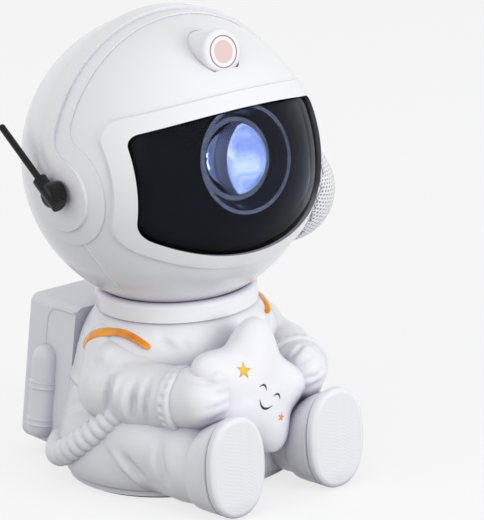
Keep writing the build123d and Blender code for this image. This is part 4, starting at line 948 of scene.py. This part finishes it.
for reach, lift in ((24.6, -0.9), (24.6, -0.1), (25.0, 0.0), (27.0, 0.0), (POD_REACH, 0.0),
                    (POD_REACH, -0.9)):
    rim_rings.append([pod_spot(reach * cos(a), reach * sin(a), POD_RADIUS + lift)
                      for a in (2 * pi * i / RIM_SIDES for i in range(RIM_SIDES))])
rim_points, rim_faces = closed_loop(rim_rings)
rim_faces = [(a, d, c, b) for a, b, c, d in rim_faces]
skin("speaker_dome_rim", rim_points, rim_faces, helmet_white, "head", "white_plastic")
finish_nodes(black_abs, "speaker")

# Antenna: a glossy black moulded rod pressed into a hub that turns on a pin in
# the right ear.
gloss_black = grained_plastic("antenna_abs_black", "#050608", 0.28, 0.5, 0.05, specular=0.25)
finish_nodes(gloss_black, "antenna_hub", "antenna_rod")

# Studio: a pale seamless floor, a white surround that the camera and gloss see,
# and three large soft lamps.
SURROUND_LIGHT, FLOOR_GLOW, FLOOR_HALF = 0.62, 0.75, 6
scene = bpy.context.scene
scene.view_settings.view_transform = "Standard"
surround = bpy.data.worlds.new("studio_surround")
surround.use_nodes = True
surround.node_tree.nodes.clear()


def seen_share(tree):
    """Socket that is 1 for rays that show the backdrop in the picture, its gloss and
    its clear plastic, and 0 for the light that falls on the figure."""
    rays = add_node(tree, "ShaderNodeLightPath")
    seen = add_node(tree, "ShaderNodeMath", {"operation": "MAXIMUM"}, {
        0: rays.outputs["Is Camera Ray"], 1: rays.outputs["Is Glossy Ray"]})
    seen = add_node(tree, "ShaderNodeMath", {"operation": "MAXIMUM"}, {
        0: seen.outputs[0], 1: rays.outputs["Is Transmission Ray"]})
    return seen.outputs[0]


level = add_node(surround.node_tree, "ShaderNodeMapRange", None, {
    "Value": seen_share(surround.node_tree), "To Min": SURROUND_LIGHT, "To Max": 1.0})
sky = add_node(surround.node_tree, "ShaderNodeBackground", None, {
    "Color": linear("#FFFFFF"), "Strength": level.outputs["Result"]})
add_node(surround.node_tree, "ShaderNodeOutputWorld", None, {"Surface": sky.outputs["Background"]})
scene.world = surround

paper, paper_tree = new_material("floor_paper_white")
flat = add_node(paper_tree, "ShaderNodeBsdfDiffuse", None, {"Color": linear("#F4F4F6")})
glow = add_node(paper_tree, "ShaderNodeEmission", None, {
    "Color": linear("#FFFFFF"), "Strength": seen_share(paper_tree)})
lit_floor = add_node(paper_tree, "ShaderNodeMixShader", None, {
    0: FLOOR_GLOW, 1: flat.outputs["BSDF"], 2: glow.outputs["Emission"]})
add_node(paper_tree, "ShaderNodeOutputMaterial", None, {"Surface": lit_floor.outputs["Shader"]})
floor_mesh = bpy.data.meshes.new("studio_floor")
floor_mesh.from_pydata([(x * FLOOR_HALF, y * FLOOR_HALF, 0) for x, y in (
    (-1, -1), (1, -1), (1, 1), (-1, 1))], [], [(0, 1, 2, 3)])
floor_mesh.materials.append(paper)
floor = bpy.data.objects.new("studio_floor", floor_mesh)
scene.collection.objects.link(floor)

TARGET = Vector((0, 0, 0.1))
for name, place, size, watts in (
    ("key_lamp", (0.4, -1.2, 0.25), 0.8, 11.5),
    ("fill_lamp", (-1.1, -0.2, 0.5), 0.9, 3.8),
    ("top_lamp", (0.2, 0.6, 1.2), 0.9, 0.2),
):
    lamp = bpy.data.lights.new(name, "AREA")
    lamp.size = size
    lamp.energy = watts
    holder = bpy.data.objects.new(name, lamp)
    holder.location = place
    holder.rotation_euler = (TARGET - Vector(place)).to_track_quat("-Z", "Y").to_euler()
    holder.visible_glossy = False
    scene.collection.objects.link(holder)

# Camera at the photograph's angle: a long lens 1.5 m away, rolled a little, and
# aimed so that the figure stands where it does in the picture.
TURN, RISE, ROLL = radians(35.46), radians(16.35), radians(-2.92)
FOCAL_PX, FRAME_W, FRAME_H = 3573.46, 484, 520
TARGET_PX, EYE_DISTANCE = (173.86, 235.79), 1.5
back = Vector((-sin(TURN) * cos(RISE), -cos(TURN) * cos(RISE), sin(RISE)))
level_right = Vector((cos(TURN), -sin(TURN), 0))
level_up = level_right.cross(-back)
right = level_right * cos(ROLL) + level_up * sin(ROLL)
up = level_up * cos(ROLL) - level_right * sin(ROLL)
aim = (-back + right * (FRAME_W / 2 - TARGET_PX[0]) / FOCAL_PX
       - up * (FRAME_H / 2 - TARGET_PX[1]) / FOCAL_PX).normalized()
right = (right - aim * right.dot(aim)).normalized()
up = right.cross(aim)
camera = bpy.data.cameras.new("photo_camera")
camera.lens = FOCAL_PX * camera.sensor_width / FRAME_H
eye = bpy.data.objects.new("photo_camera", camera)
eye.matrix_world = Matrix.Translation(TARGET + back * EYE_DISTANCE) @ Matrix(
    (right, up, -aim)).transposed().to_4x4()
scene.collection.objects.link(eye)
scene.camera = eye
